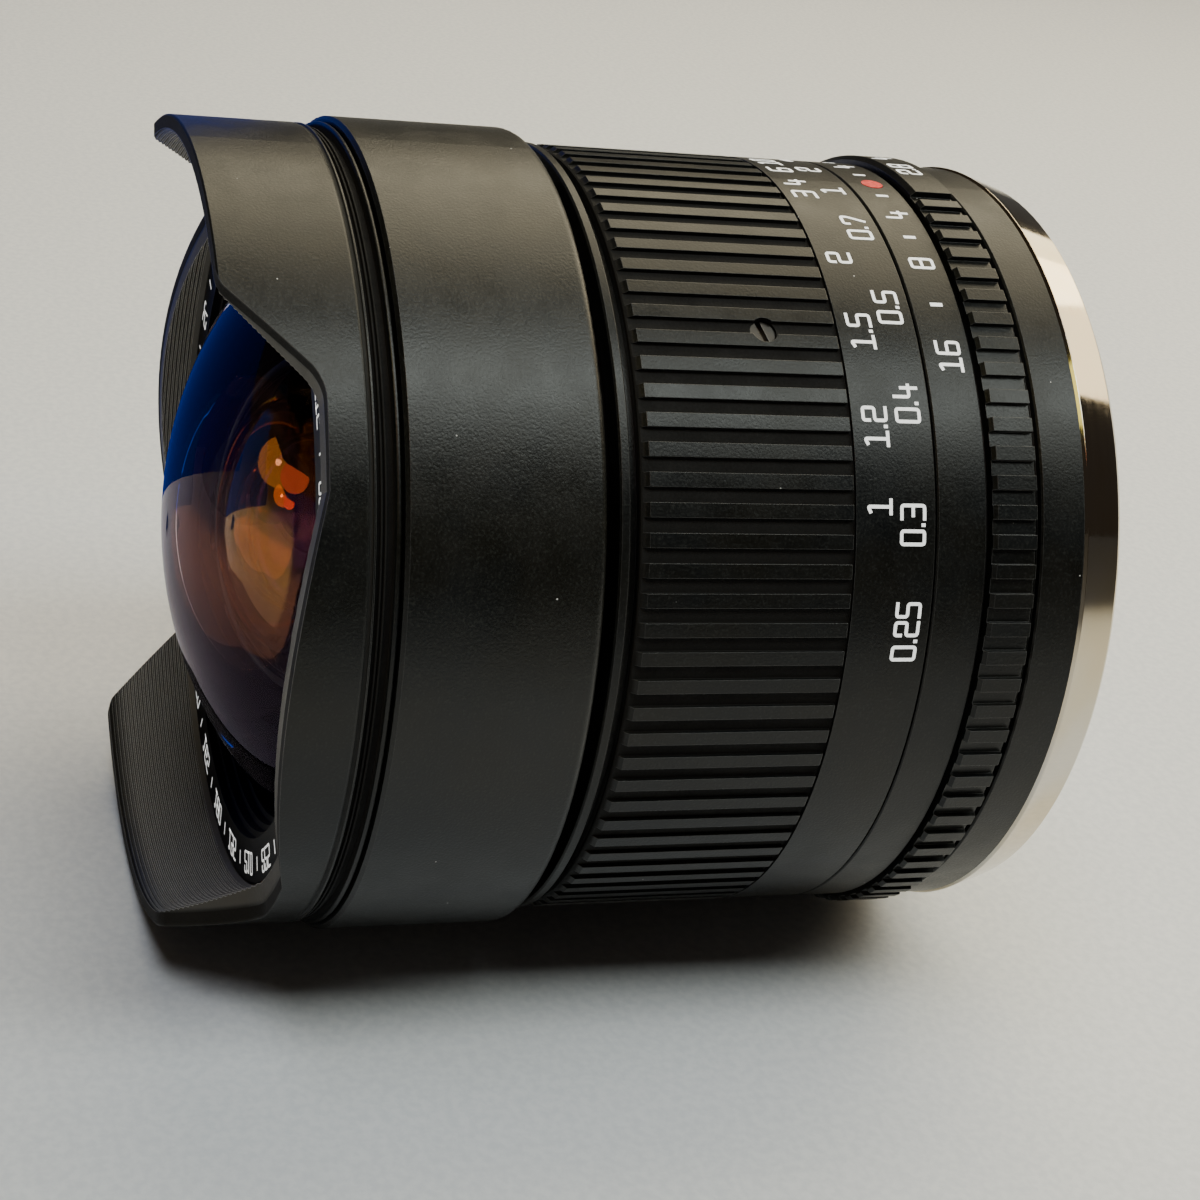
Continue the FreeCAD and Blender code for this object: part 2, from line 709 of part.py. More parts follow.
def cam_groove():
    """Groove that follows the first blade's drive pin."""
    half = blade_pin_r + running
    spare = 2.0
    steps = 12
    turns = [-spare + (aperture_turn_deg + 2 * spare) * i / steps for i in range(steps + 1)]
    floor = cam_front - cam_groove_depth
    path = []
    for turn in turns:
        radius, angle = drive_pin_on_cam(turn)
        path.append(place(radius, floor, angle))
    outer, inner = [], []
    for i, point in enumerate(path):
        before, after = path[max(i - 1, 0)], path[min(i + 1, steps)]
        along = (after - before).normalize()
        side = axis_dir.cross(along)
        outer.append(point + side * half)
        inner.append(point - side * half)
    edges = [
        Part.BSplineCurve(),
        Part.BSplineCurve(),
    ]
    edges[0].interpolate(outer)
    edges[1].interpolate(inner)
    near = Part.LineSegment(inner[0], outer[0]).toShape()
    far = Part.LineSegment(outer[-1], inner[-1]).toShape()
    face = Part.Face(Part.Wire(Part.__sortEdges__([edges[0].toShape(), far, edges[1].toShape(), near])))
    return face.extrude(FreeCAD.Vector(0, -cam_groove_depth - 1, 0))


lever_peg_r = 0.35
lever_peg_depth = 0.5
lever_pegs = [lever_deg - 2.6, lever_deg + 2.6]
lever_foot_half_deg = 5.2


def iris_cam_ring():
    """Turning ring with seven grooves, and two holes for the lever's pegs in its rear face."""
    ring = tube(blade_inner_r + 0.2, iris_bore_r - running, cam_rear, cam_front)
    grooves = []
    for angle in spread(blade_count):
        groove = cam_groove()
        groove.rotate(axis_point, axis_dir, angle)
        grooves.append(groove)
    foot_r = sum(lever_foot_r) / 2
    peg_floor = cam_rear + lever_peg_depth + fit
    pegs = [axial_rod(lever_peg_r + fit, cam_rear - 1, peg_floor, foot_r, a) for a in lever_pegs]
    return ring.cut(grooves + pegs)


def iris_lever():
    """Bent lever from the cam ring out and back to the aperture ring's fork."""
    foot = tube(*lever_foot_r, lever_arm_rear, cam_rear, lever_deg - lever_foot_half_deg,
                2 * lever_foot_half_deg)
    arm = bar(sum(lever_foot_r) / 2, lever_arm_r[1], lever_width, lever_arm_rear, lever_arm_front, lever_deg)
    tail = bar(*lever_arm_r, lever_width, lever_rear, lever_arm_front, lever_deg)
    foot_r = sum(lever_foot_r) / 2
    pegs = [axial_rod(lever_peg_r, cam_rear - 0.1, cam_rear + lever_peg_depth, foot_r, a) for a in lever_pegs]
    return joined([foot, arm, tail] + pegs)


def iris_housing():
    """Rim and plate that carry the blades' pivots."""
    outline = [
        (blade_inner_r + 0.1, iris_plate_rear),
        (iris_bore_r, iris_plate_rear),
        (iris_bore_r, iris_cover_front),
        (iris_rim_r, iris_cover_front),
        (iris_rim_r, wall_rear),
        (iris_bore_r, wall_rear),
        (iris_bore_r, iris_plate_front),
        (blade_inner_r + 0.1, iris_plate_front),
    ]
    pivots = [
        axial_rod(blade_pin_r + running, iris_plate_rear - 1, iris_plate_front + 1, pivot_r, a)
        for a in spread(blade_count)
    ]
    return turned(outline).cut(pivots + iris_holes)


def iris_cover():
    """Plate behind the cam ring, with the slot of the lever and the seat of the rear cell."""
    plate = tube(rear_cell_spigot_r + fit, iris_rim_r, iris_cover_rear, iris_cover_front)
    spare = lever_foot_half_deg + 4.0
    slot = tube(lever_foot_r[0] - 0.3, lever_foot_r[1] + 0.3, iris_cover_rear - 1, iris_cover_front + 1,
                lever_deg - spare, aperture_turn_deg + 2 * spare)
    return plate.cut([slot] + iris_holes)


for index in range(blade_count):
    save(f"iris_blade_{index + 1}", iris_blade(index))
save("iris_cam_ring", iris_cam_ring())
save("iris_lever", iris_lever())
save("iris_housing", iris_housing())
save("iris_cover", iris_cover())
save("iris_housing_screws", group([
    screw(*iris_screw_sizes, place(iris_screw_pitch_r, iris_screw_base, a), forward)
    for a in iris_screw_angles]))

# Fixed barrel and what is fastened to it
slide_seat_r = slide_r + running
rear_room_r = 27.0
rear_room_front = 14.0
seat_r = 31.0
aperture_journal_r = 31.5
collar_seat = aperture_rear - seam
ring_groove_r = 33.1
focus_journal_r = 29.0
focus_journal_front = 23.8
thrust_spigot_r = 28.0
fixed_front = 25.6
nut_bore_r = thread_r + running
nut_r = 32.0
stop_pin_r = 0.8
stop_pin_ahead = 20.0
stop_pin_deg = 180.0
stop_groove_r = 30.3
key_r = (25.0, 27.6)
key_screw_ahead = 19.0
key_screw_top_r = focus_journal_r - 0.05
key_screw_sizes = (0.9, 0.6, 0.5, 3.2)
thrust_screw_ahead = 24.7
thrust_screw_r = 30.0
thrust_screw_sizes = (0.9, 0.6, 0.5, 2.8)
thrust_screw_angles = spread(3, 45.0)
click_r = 32.35
click_deg = 180.0
click_ball_r = 0.5
click_channel_half = 0.6
click_hole_front = 16.6
dot_r = 0.95
dot_ahead = 14.8
link_half = (9.8, 12.2)
link_width = 5.0
link_r = (18.9, 32.7)
mount_screw_pitch_r = 29.0
mount_screw_angles = spread(4, 45.0)
mount_screw_sizes = (1.6, 1.0, 0.85, 7.2)


def inward(angle_deg):
    """Direction from the outside towards the axis."""
    return place(-1.0, 0.0, angle_deg)


key_holes = [screw_hole(*key_screw_sizes, place(key_screw_top_r, key_screw_ahead, a), inward(a))
             for a in guide_key_angles]
thrust_holes = [screw_hole(*thrust_screw_sizes, place(thrust_screw_r, thrust_screw_ahead, a), inward(a))
                for a in thrust_screw_angles]
mount_holes = [screw_hole(*mount_screw_sizes, place(mount_screw_pitch_r, 0.0, a), forward)
               for a in mount_screw_angles]


def fixed_barrel():
    """Barrel on the mount: journals of both rings, the depth-of-field collar and the bore of the optics."""
    outline = [
        (slide_seat_r, fixed_front),
        (slide_seat_r, rear_room_front),
        (rear_room_r, rear_room_front),
        (rear_room_r, mount_front),
        (seat_r, mount_front),
        (seat_r, collar_seat),
        (aperture_journal_r, collar_seat),
        (aperture_journal_r, depth_scale_rear),
        (collar_r - 0.12, depth_scale_rear),
        (collar_r, depth_scale_rear + 0.12),
        (collar_r, depth_scale_front - 0.12),
        (collar_r - 0.12, depth_scale_front),
        (focus_journal_r, depth_scale_front),
        (focus_journal_r, focus_journal_front),
        (thrust_spigot_r, focus_journal_front),
        (thrust_spigot_r, fixed_front),
    ]
    window = tube(rear_room_r - 1, aperture_journal_r + 1, link_half[0] - 0.3, link_half[1] + 0.3,
                  lever_deg - 7.0, aperture_turn_deg + 14.0)
    key_pockets = [
        bar(slide_seat_r - 1, key_r[1] + fit, guide_key_width + 2 * fit, guide_key_rear - fit,
            guide_key_front + fit, a)
        for a in guide_key_angles
    ]
    pin_hole = radial_rod(stop_pin_r + fit, slide_seat_r - 1, focus_journal_r + 1, stop_pin_ahead,
                          stop_pin_deg)
    click_hole = axial_rod(click_ball_r + fit, depth_scale_rear - 1, click_hole_front, click_r, click_deg)
    dot_hole = radial_rod(dot_r + fit, collar_r - 0.4, collar_r + 1, dot_ahead, 0.0)
    holes = key_pockets + key_holes + thrust_holes + mount_holes
    return turned(outline).cut([window, pin_hole, click_hole, dot_hole] + holes)


def click_spring():
    """Coil behind the click ball."""
    wire_r = 0.08
    low = depth_scale_rear + 0.85
    high = click_hole_front - wire_r - fit
    helix = Part.makeHelix(0.45, high - low - 0.02, click_ball_r - wire_r - fit)
    start = FreeCAD.Vector(click_ball_r - wire_r - fit, 0, 0)
    section = Part.Wire(Part.makeCircle(wire_r, start, FreeCAD.Vector(0, 1, 0)))
    coil = Part.Wire(helix.Edges).makePipeShell([section], True, True)
    coil.rotate(axis_point, FreeCAD.Vector(1, 0, 0), 90)
    coil.translate(place(click_r, low, click_deg))
    return coil


def rear_collar():
    """Smooth ring between the mount and the aperture ring, with a groove at its front."""
    edge = 0.15
    outline = [
        (seat_r + fit, mount_front),
        (rear_collar_r, mount_front),
        (rear_collar_r, rear_collar_front - edge),
        (rear_collar_r - edge, rear_collar_front),
        (ring_groove_r, rear_collar_front),
        (ring_groove_r, collar_seat),
        (seat_r + fit, collar_seat),
    ]
    return turned(outline)


mount_rear_r = 32.7
mount_front_r = 34.05
throat_r = 22.6
spigot_r = 24.2
spigot_rear = -4.4
lug_r = 25.9
lug_span_deg = 60.0
lug_low, lug_high = -4.0, -2.6
baffle_r = 22.4
baffle_rear, baffle_front = 1.0, 2.5
baffle_ledge_r = 20.4
baffle_window = (24.0, 16.0)
baffle_screw_r = 21.4
baffle_screw_sizes = (0.8, 0.5, 0.45, 2.6)
baffle_screw_angles = spread(3, 90.0)
lock_hole_r, lock_hole_depth, lock_hole_pitch_r, lock_hole_deg = 1.1, 1.6, 28.4, 270.0
baffle_screw_base = baffle_rear - baffle_screw_sizes[1]
baffle_holes = [screw_hole(*baffle_screw_sizes, place(baffle_screw_r, baffle_screw_base, a), forward)
                for a in baffle_screw_angles]


def mount_ring():
    """Bayonet: flange, spigot with three lugs, and the hole of the camera's lock pin."""
    outline = [
        (throat_r, spigot_rear),
        (spigot_r - 0.2, spigot_rear),
        (spigot_r, spigot_rear + 0.2),
        (spigot_r, 0.0),
        (mount_rear_r, 0.0),
        (mount_rear_r + 0.3, 0.3),
        (mount_front_r, mount_front - 0.3),
        (mount_front_r - 0.25, mount_front),
        (baffle_ledge_r, mount_front),
        (baffle_ledge_r, baffle_front),
        (throat_r, baffle_front),
    ]
    lugs = [tube(throat_r + 0.5, lug_r, lug_low, lug_high, a, lug_span_deg) for a in spread(3, 0.0)]
    lock_hole = axial_rod(lock_hole_r, -1.0, lock_hole_depth, lock_hole_pitch_r, lock_hole_deg)
    return joined([turned(outline)] + lugs).cut([lock_hole] + mount_holes + baffle_holes)


def rear_baffle():
    """Plate with the rectangular window behind the last element."""
    wide, tall = baffle_window
    corner = FreeCAD.Vector(-wide / 2, -baffle_front - 1, -tall / 2)
    window = Part.makeBox(wide, baffle_front - baffle_rear + 2, tall, corner)
    plate = tube(5.0, throat_r - fit, baffle_rear, baffle_front)
    return plate.cut([window] + baffle_holes)


save("fixed_barrel", fixed_barrel())
save("index_dot", radial_rod(dot_r, collar_r - 0.37, collar_r + 0.03, dot_ahead, 0.0))
save("thrust_ring", tube(thrust_spigot_r + fit, 30.2, focus_journal_front, fixed_front).cut(thrust_holes))
save("thrust_ring_screws", group([
    screw(*thrust_screw_sizes, place(thrust_screw_r, thrust_screw_ahead, a), inward(a))
    for a in thrust_screw_angles]))
save("guide_keys", group([
    bar(*key_r, guide_key_width, guide_key_rear, guide_key_front, a).cut(key_holes)
    for a in guide_key_angles]))
save("guide_key_screws", group([
    screw(*key_screw_sizes, place(key_screw_top_r, key_screw_ahead, a), inward(a))
    for a in guide_key_angles]))
save("focus_stop_pin", radial_rod(stop_pin_r, slide_seat_r + 0.2, stop_groove_r - 0.3, stop_pin_ahead,
                                  stop_pin_deg))
save("click_ball", Part.makeSphere(click_ball_r, place(click_r, depth_scale_rear + 0.15, click_deg)))
save("click_spring", click_spring())
save("rear_collar", rear_collar())
save("mount_ring", mount_ring())
save("mount_screws", group([screw(*mount_screw_sizes, place(mount_screw_pitch_r, 0.0, a), forward)
                            for a in mount_screw_angles]))
save("rear_baffle", rear_baffle())
save("rear_baffle_screws", group([
    screw(*baffle_screw_sizes, place(baffle_screw_r, baffle_screw_base, a), forward)
    for a in baffle_screw_angles]))

# Focusing
clamp_bore_r = 31.5
set_screw_ahead = 30.8
set_screw_angles = spread(3, 35.0)
set_screw_r = 1.1
set_screw_top_r, set_screw_tip_r = 33.2, 31.3
set_screw_slot_deg = 16.0
focus_rib_phase = 0.62
focus_rib_slant = 0.48
focus_rib_slot = 0.22
clamp_groove_r = 32.3


def ribbed_prism(top_r, floor_r, low, high, phase_deg, count, share, plain=None):
    """Solid with ribs all round. plain is (from, to, radius) of a sector without ribs."""
    step = 360.0 / count
    half = share * step / 2
    edges = []

    def arc(radius, a, b):
        start, middle, end = [place(radius, low, angle) for angle in (a, (a + b) / 2, b)]
        edges.append(Part.Arc(start, middle, end).toShape())

    def riser(angle, from_r, to_r):
        edges.append(Part.LineSegment(place(from_r, low, angle), place(to_r, low, angle)).toShape())

    first = plain[1] if plain else phase_deg - step + half
    last = plain[0] + 360.0 if plain else first + 360.0
    centres = [phase_deg + step * i for i in range(-count, 2 * count)]
    spare = -0.5 if plain else 0.5
    centres = [c for c in centres if c - half > first + 0.5 and c + half < last + spare]
    angle = first
    if plain:
        arc(plain[2], plain[0], plain[1])
        riser(first, plain[2], floor_r)
    for centre in centres:
        arc(floor_r, angle, centre - half)
        riser(centre - half, floor_r, top_r)
        arc(top_r, centre - half, centre + half)
        riser(centre + half, top_r, floor_r)
        angle = centre + half
    if plain:
        arc(floor_r, angle, last)
        riser(last, floor_r, plain[2])
    face = Part.Face(Part.Wire(edges))
    return face.extrude(FreeCAD.Vector(0, low - high, 0))


set_screw_holes = [radial_rod(set_screw_r + fit, set_screw_tip_r - fit, focus_r + 1, set_screw_ahead, a)
                   for a in set_screw_angles]


def focus_ring():
    """Ribbed grip with the distance scales behind it."""
    bore_r = nut_r + fit
    grip = turned([
        (bore_r, rib_rear - 0.2),
        (focus_floor_r, rib_rear - 0.2),
        (focus_floor_r, rib_rear + focus_rib_slot),
        (focus_r, rib_rear + focus_rib_slot),
        (focus_r, rib_front - focus_rib_slant),
        (focus_floor_r, rib_front),
        (focus_floor_r - 0.1, focus_front),
        (bore_r, focus_front),
    ])
    ribs = ribbed_prism(focus_r + 0.2, focus_floor_r, rib_rear - 1, focus_front + 1, focus_rib_phase,
                        rib_count, rib_share)
    scale = turned([
        (bore_r, focus_rear),
        (focus_r - 0.12, focus_rear),
        (focus_r, focus_rear + 0.12),
        (focus_r, rib_rear),
        (bore_r, rib_rear),
    ])
    return joined([scale, grip.common(ribs)]).cut(set_screw_holes)


def helicoid_nut():
    """Turning sleeve between the focusing ring and the optics barrel."""
    outline = [
        (focus_journal_r + running, focus_rear),
        (nut_r, focus_rear),
        (nut_r, focus_front),
        (clamp_bore_r, focus_front),
        (clamp_bore_r, focus_front + 1.4),
        (nut_bore_r, focus_front + 1.4),
        (nut_bore_r, focus_journal_front - seam),
        (focus_journal_r + running, focus_journal_front - seam),
    ]
    pin_half = math.degrees(math.asin(stop_pin_r / focus_journal_r)) + stop_spare_deg
    groove_half = stop_pin_r + 0.3
    groove_span = focus_far_deg + focus_near_deg + 2 * pin_half
    groove = tube(focus_journal_r - 1, stop_groove_r, stop_pin_ahead - groove_half,
                  stop_pin_ahead + groove_half, stop_pin_deg - focus_far_deg - pin_half, groove_span)
    return turned(outline).cut([groove] + set_screw_holes)


def clamp_ring():
    """Thin satin ring that closes the focusing ring's front."""
    outline = [
        (clamp_bore_r + fit, focus_front),
        (clamp_groove_r, focus_front),
        (clamp_groove_r, clamp_rear),
        (clamp_r - 0.1, clamp_rear),
        (clamp_r, clamp_rear + 0.1),
        (clamp_r, clamp_front - 0.15),
        (clamp_r - 0.15, clamp_front),
        (clamp_bore_r + fit, clamp_front),
    ]
    return turned(outline)


def set_screw(angle_deg):
    """Slotted grub screw."""
    body = radial_rod(set_screw_r, set_screw_tip_r, set_screw_top_r, set_screw_ahead, angle_deg)
    slot = Part.makeBox(3.0, 0.45, 0.7, FreeCAD.Vector(-1.5, -0.225, -0.6))
    slot.rotate(axis_point, FreeCAD.Vector(0, 0, 1), set_screw_slot_deg)
    slot.translate(FreeCAD.Vector(0, -set_screw_ahead, set_screw_top_r))
    slot.rotate(axis_point, axis_dir, angle_deg)
    return body.cut(slot)


save("focus_ring", focus_ring())
save("helicoid_nut", helicoid_nut())
save("clamp_ring", clamp_ring())
save("focus_set_screws", group([set_screw(a) for a in set_screw_angles]))

# Aperture ring and its link to the iris lever
aperture_rib_phase = 0.35
aperture_rib_share = 0.48
aperture_rib_chamfer = 0.3
tongue_deg = (-52.0, 5.3)
link_screw_sizes = (1.1, 0.8, 0.6, 4.2)
link_screw_r = aperture_floor_r - 0.25
link_screw_ahead = sum(link_half) / 2
link_holes = [
    screw_hole(*link_screw_sizes, place(link_screw_r, link_screw_ahead, lever_deg), inward(lever_deg)),
    radial_rod(link_screw_sizes[0] + fit, link_screw_r - 0.1, tongue_r + 1, link_screw_ahead, lever_deg),
]
click_step_deg = 8.4
click_count = 6
click_dent_depth = 0.2


def aperture_ring():
    """Ribbed ring with a smooth tongue for the numbers, and click notches in its front face."""
    bore_r = aperture_journal_r + running
    outside_r = tongue_r + 0.2
    envelope = turned([
        (bore_r, aperture_rear),
        (aperture_floor_r - 0.1, aperture_rear),
        (outside_r, aperture_rear + 0.1),
        (outside_r, aperture_rib_front - aperture_rib_chamfer - (outside_r - aperture_r)),
        (aperture_r - aperture_rib_chamfer, aperture_rib_front),
        (ring_groove_r, aperture_rib_front),
        (ring_groove_r, aperture_front),
        (bore_r, aperture_front),
    ])
    ribs = ribbed_prism(aperture_r, aperture_floor_r, aperture_rear - 1, aperture_front + 1,
                        aperture_rib_phase, rib_count, aperture_rib_share, (*tongue_deg, tongue_r))
    pocket = bar(bore_r - 1, link_r[1] + fit, link_width + 2 * fit, link_half[0] - fit, link_half[1] + fit,
                 lever_deg)
    channel_from = click_deg - aperture_turn_deg - 6.0
    channel_floor = aperture_front - 0.35
    channel = tube(click_r - click_channel_half, click_r + click_channel_half, channel_floor,
                   aperture_front + 1, channel_from, aperture_turn_deg + 12.0)
    dent = channel_floor - click_dent_depth + click_ball_r
    notches = [
        Part.makeSphere(click_ball_r, place(click_r, dent, click_deg - click_step_deg * i))
        for i in range(click_count)
    ]
    return envelope.common(ribs).cut([pocket, channel] + notches + link_holes)


def aperture_link():
    """Block through the fixed barrel's window, with a fork round the iris lever."""
    block = bar(*link_r, link_width, *link_half, lever_deg)
    fork = bar(link_r[0] - 1, lever_arm_r[1] + 0.7, lever_width + 2 * running, link_half[0] - 1,
               link_half[1] + 1, lever_deg)
    return block.cut([fork] + link_holes)


save("aperture_ring", aperture_ring())
save("aperture_link", aperture_link())
save("aperture_link_screw", screw(*link_screw_sizes, place(link_screw_r, link_screw_ahead, lever_deg),
                                  inward(lever_deg)))
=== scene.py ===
# %% [markdown]
# A manual fisheye lens, dressed for its portrait. The CAD model already holds every piece at its real
# size and in its place, so this script only gives the pieces their finishes, paints the figures on the
# rings, and sets up a floor, some soft lights and a camera.
# Everything is in metres in the frame of the CAD model. The optical axis is Y, the dome looks towards
# -Y, the bayonet points to +Y, and the index mark is at the top, +Z.

# %% Load the frame
import math
import bpy
from mathutils import Matrix, Vector


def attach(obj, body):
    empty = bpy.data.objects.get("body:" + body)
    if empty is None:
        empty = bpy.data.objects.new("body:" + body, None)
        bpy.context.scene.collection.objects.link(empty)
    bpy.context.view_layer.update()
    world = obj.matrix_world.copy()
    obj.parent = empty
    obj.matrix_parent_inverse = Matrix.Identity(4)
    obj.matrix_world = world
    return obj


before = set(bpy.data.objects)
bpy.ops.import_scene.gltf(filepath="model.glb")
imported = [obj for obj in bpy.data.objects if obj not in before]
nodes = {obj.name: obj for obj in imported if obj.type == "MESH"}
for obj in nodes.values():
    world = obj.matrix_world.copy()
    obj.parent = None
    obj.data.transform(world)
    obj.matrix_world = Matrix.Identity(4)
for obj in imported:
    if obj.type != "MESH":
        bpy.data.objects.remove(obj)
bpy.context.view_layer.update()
MM = 0.001  # one millimetre in metres

# %% [markdown]
# The finishes are made of shader nodes. Placing nodes one by one makes long code in which the formula is
# hard to see. Here a small class wraps a node's output, so that a formula such as 1 - mask * 0.3 can be
# written as it stands, and each operator adds its Math node.

# %% A value that changes over the surface
class Field:
    """The output of a node. Sums and products of fields add Math nodes."""

    def __init__(self, finish, socket):
        self.finish = finish
        self.socket = socket

    def math(self, operation, first, second):
        return self.finish.add("Math", {"operation": operation}, {0: first, 1: second})

    def __add__(self, other):
        return self.math("ADD", self, other)

    def __sub__(self, other):
        return self.math("SUBTRACT", self, other)

    def __mul__(self, other):
        return self.math("MULTIPLY", self, other)

    def __pow__(self, other):
        return self.math("POWER", self, other)

    def __radd__(self, other):
        return self.math("ADD", other, self)

    def __rsub__(self, other):
        return self.math("SUBTRACT", other, self)

    def __rmul__(self, other):
        return self.math("MULTIPLY", other, self)

    def __rpow__(self, other):
        return self.math("POWER", other, self)


print("fields can be added, subtracted, multiplied and raised to a power")

# %% [markdown]
# A finish is one material. Its method add makes any node: the settings come first, because they can
# change which sockets the node has, and then the sockets get numbers or links. The other methods are the
# few patterns that every finish of this lens needs. Textures are read at the object's own coordinates,
# which are metres here, so a grain size can be given in millimetres.

# %% A finish
class Finish:
    """One material with its nodes."""

    def __init__(self, name):
        self.material = bpy.data.materials.new(name)
        self.material.use_nodes = True
        self.tree = self.material.node_tree
        self.tree.nodes.clear()
        self.end = self.tree.nodes.new("ShaderNodeOutputMaterial")
        self.place = self.add("TexCoord", output="Object")
        self.x = self.add("SeparateXYZ", inputs={0: self.place}, output="X")
        axes = self.x.socket.node.outputs
        self.y = Field(self, axes["Y"])
        self.z = Field(self, axes["Z"])

    def add(self, kind, settings=None, inputs=None, output=0):
        """Adds a node of a kind, with its settings, then its inputs, and returns one of its outputs."""
        node = self.tree.nodes.new("ShaderNode" + kind)
        node.location = (200 * len(self.tree.nodes), 0)
        for key, value in (settings or {}).items():
            setattr(node, key, value)
        for key, value in (inputs or {}).items():
            if isinstance(value, Field):
                self.tree.links.new(value.socket, node.inputs[key])
            else:
                node.inputs[key].default_value = value
        return Field(self, node.outputs[output])

    def noise(self, size_mm, detail=2.0, at=None):
        """Cloudy noise from 0 to 1, with lumps of a size in millimetres."""
        where = at or self.place
        return self.add("TexNoise", inputs={"Vector": where, "Scale": 1000.0 / size_mm, "Detail": detail})

    def between(self, value, low, high, start=0.0, stop=1.0):
        """Goes smoothly from start to stop while the value goes from low to high."""
        ends = {0: value, 1: low, 2: high, 3: start, 4: stop}
        return self.add("MapRange", {"interpolation_type": "SMOOTHSTEP"}, ends)

    def blend(self, mask, first, second):
        """One colour where the mask is 0, the other where it is 1."""
        ends = {0: mask, 6: self.colour(first), 7: self.colour(second)}
        return self.add("Mix", {"data_type": "RGBA"}, ends, 2)

    def colour(self, value):
        return value if isinstance(value, Field) else (*value, 1.0)

    def radius(self):
        """Distance from the optical axis."""
        flat = self.add("CombineXYZ", inputs={0: self.x, 2: self.z})
        return self.add("VectorMath", {"operation": "LENGTH"}, {0: flat}, "Value")

    def round_axis(self):
        """Radius and place along the axis: noise read there makes rings."""
        return self.add("CombineXYZ", inputs={0: self.radius(), 1: self.y})

    def rounded(self, radius_mm):
        """Surface direction with every sharp edge rounded a little."""
        return self.add("Bevel", {"samples": 6}, {"Radius": radius_mm * MM})

    def edge(self, soft):
        """1 on the rounded edges, where the two directions part, and 0 on the faces."""
        plain = self.add("NewGeometry", output="Normal")
        same = self.add("VectorMath", {"operation": "DOT_PRODUCT"}, {0: soft, 1: plain}, "Value")
        return self.between(same, 0.995, 0.9)

    def bump(self, height, depth_mm, soft=None):
        """Surface direction bent by a height from 0 to 1, whose full depth is in millimetres."""
        inputs = {"Height": height, "Distance": depth_mm * MM, "Strength": 1.0}
        if soft:
            inputs["Normal"] = soft
        return self.add("Bump", inputs=inputs, output="Normal")

    def show(self, shader):
        """Ends the material with a shader."""
        self.tree.links.new(shader.socket, self.end.inputs["Surface"])

    def surface(self, inputs):
        """Ends the material with the principled shader, from what its sockets get."""
        self.show(self.add("BsdfPrincipled", inputs=inputs))


def times(colour, *factors):
    """A colour times one factor, or times a factor for each of its three parts."""
    return tuple(c * k for c, k in zip(colour, factors * (3 // len(factors))))


def names(*materials):
    """The names of some materials, for what a cell prints."""
    return ", ".join(material.name for material in materials)


print("ready to make finishes")

# %% [markdown]
# Nearly everything outside is aluminium that was blasted with fine beads and then anodised black. The
# beads leave a grain of about a quarter of a millimetre, so lights show as broad, soft and slightly
# sparkling patches. The dye isn't even: wide faint clouds are browner or bluer. Handling polishes
# the edges first, so they are lighter, and a painted highlight lightens them more, as thin lines where
# they catch the light. A few specks of dust lie on the surface. A bump of fine noise makes the grain,
# and the Bevel node rounds the edges. The dyed layer also mirrors less than bare plastic would, so its
# index is low. Two masks use the distance from the axis: the floors of grooves are darkened as painted
# shade, and the inside of the hood is a dull grey-black whose ridge crests get a painted highlight.

# %% Black anodised aluminium
GRAIN_MM = 0.22
DUST_MM = 3.2  # a speck of dust lies in each cell of this size
WALL_MM, INSIDE_MM = 33.2, 32.7  # between these radii the hood's wall turns into its inside
WEAR_AND_HIGHLIGHT_GREY = (0.2, 0.195, 0.19)
DUST_GREY = (0.7, 0.68, 0.65)
PAINTED_CREST_HIGHLIGHT = (0.75, 0.72, 0.66)
PAINTED_GROOVE_SHADE = (0.001, 0.001, 0.001)


def anodised(name, base, rough, depth_mm, dust, index, pit=None, inner=None):
    """Black dye on blasted metal, whose edges are lighter partly from wear and partly as a painted
    highlight.
    dust is the radius of a speck as a share of its cell.

    pit is the span of radii in millimetres whose groove floors are darkened as painted shade, and inner
    the colour inside the hood, whose ridge crests get a painted highlight.
    """
    f = Finish(name)
    soft = f.rounded(0.07)
    wear_and_highlight = f.edge(soft)
    grain = f.noise(GRAIN_MM, 3.0)
    cloud = f.noise(9.0, 3.0)
    smear = f.noise(3.5, 4.0)
    brown = times(base, 1.35, 1.12, 0.85)
    blue = times(base, 0.8, 0.95, 1.25)
    dye_and_painted_light = f.blend(f.between(cloud, 0.35, 0.65), brown, blue)
    dye_and_painted_light = f.blend(f.between(grain, 0.52, 0.72) * 0.6, dye_and_painted_light, times(base, 5.0))
    # Edges get a lighter grey: partly wear, partly a painted highlight where they catch the light.
    dye_and_painted_light = f.blend(wear_and_highlight * 0.4, dye_and_painted_light, WEAR_AND_HIGHLIGHT_GREY)
    roughness = rough + f.between(smear, 0.3, 0.7, -0.035, 0.035) - wear_and_highlight * 0.12 + (grain - 0.5) * 0.22
    cells = f.add("TexVoronoi", inputs={"Vector": f.place, "Scale": 1000.0 / DUST_MM}, output="Distance")
    speck = f.between(cells, dust, dust * 0.6)
    dye_and_painted_light = f.blend(speck * 0.8, dye_and_painted_light, DUST_GREY)
    roughness = roughness + speck * 0.3
    # Groove floors are darkened towards black as painted shade.
    if pit:
        low, high = pit
        radius = f.radius()
        under = f.between(radius, high * MM, (high - 0.25) * MM)
        over = f.between(radius, (low - 0.1) * MM, low * MM)
        groove_shade = under * over
        dye_and_painted_light = f.blend(groove_shade, dye_and_painted_light, PAINTED_GROOVE_SHADE)
        roughness = roughness + groove_shade * 0.5
    if inner:
        within = f.between(f.radius(), WALL_MM * MM, INSIDE_MM * MM)
        dye_and_painted_light = f.blend(within, dye_and_painted_light, inner)
        # Ridge crests inside the hood get a near-white painted highlight.
        dye_and_painted_light = f.blend(within * wear_and_highlight, dye_and_painted_light, PAINTED_CREST_HIGHLIGHT)
        roughness = roughness + within * 0.2
    normal = f.bump(grain, depth_mm, soft)
    f.surface({"Base Color": dye_and_painted_light, "Roughness": roughness, "Normal": normal, "IOR": index})
    return f.material


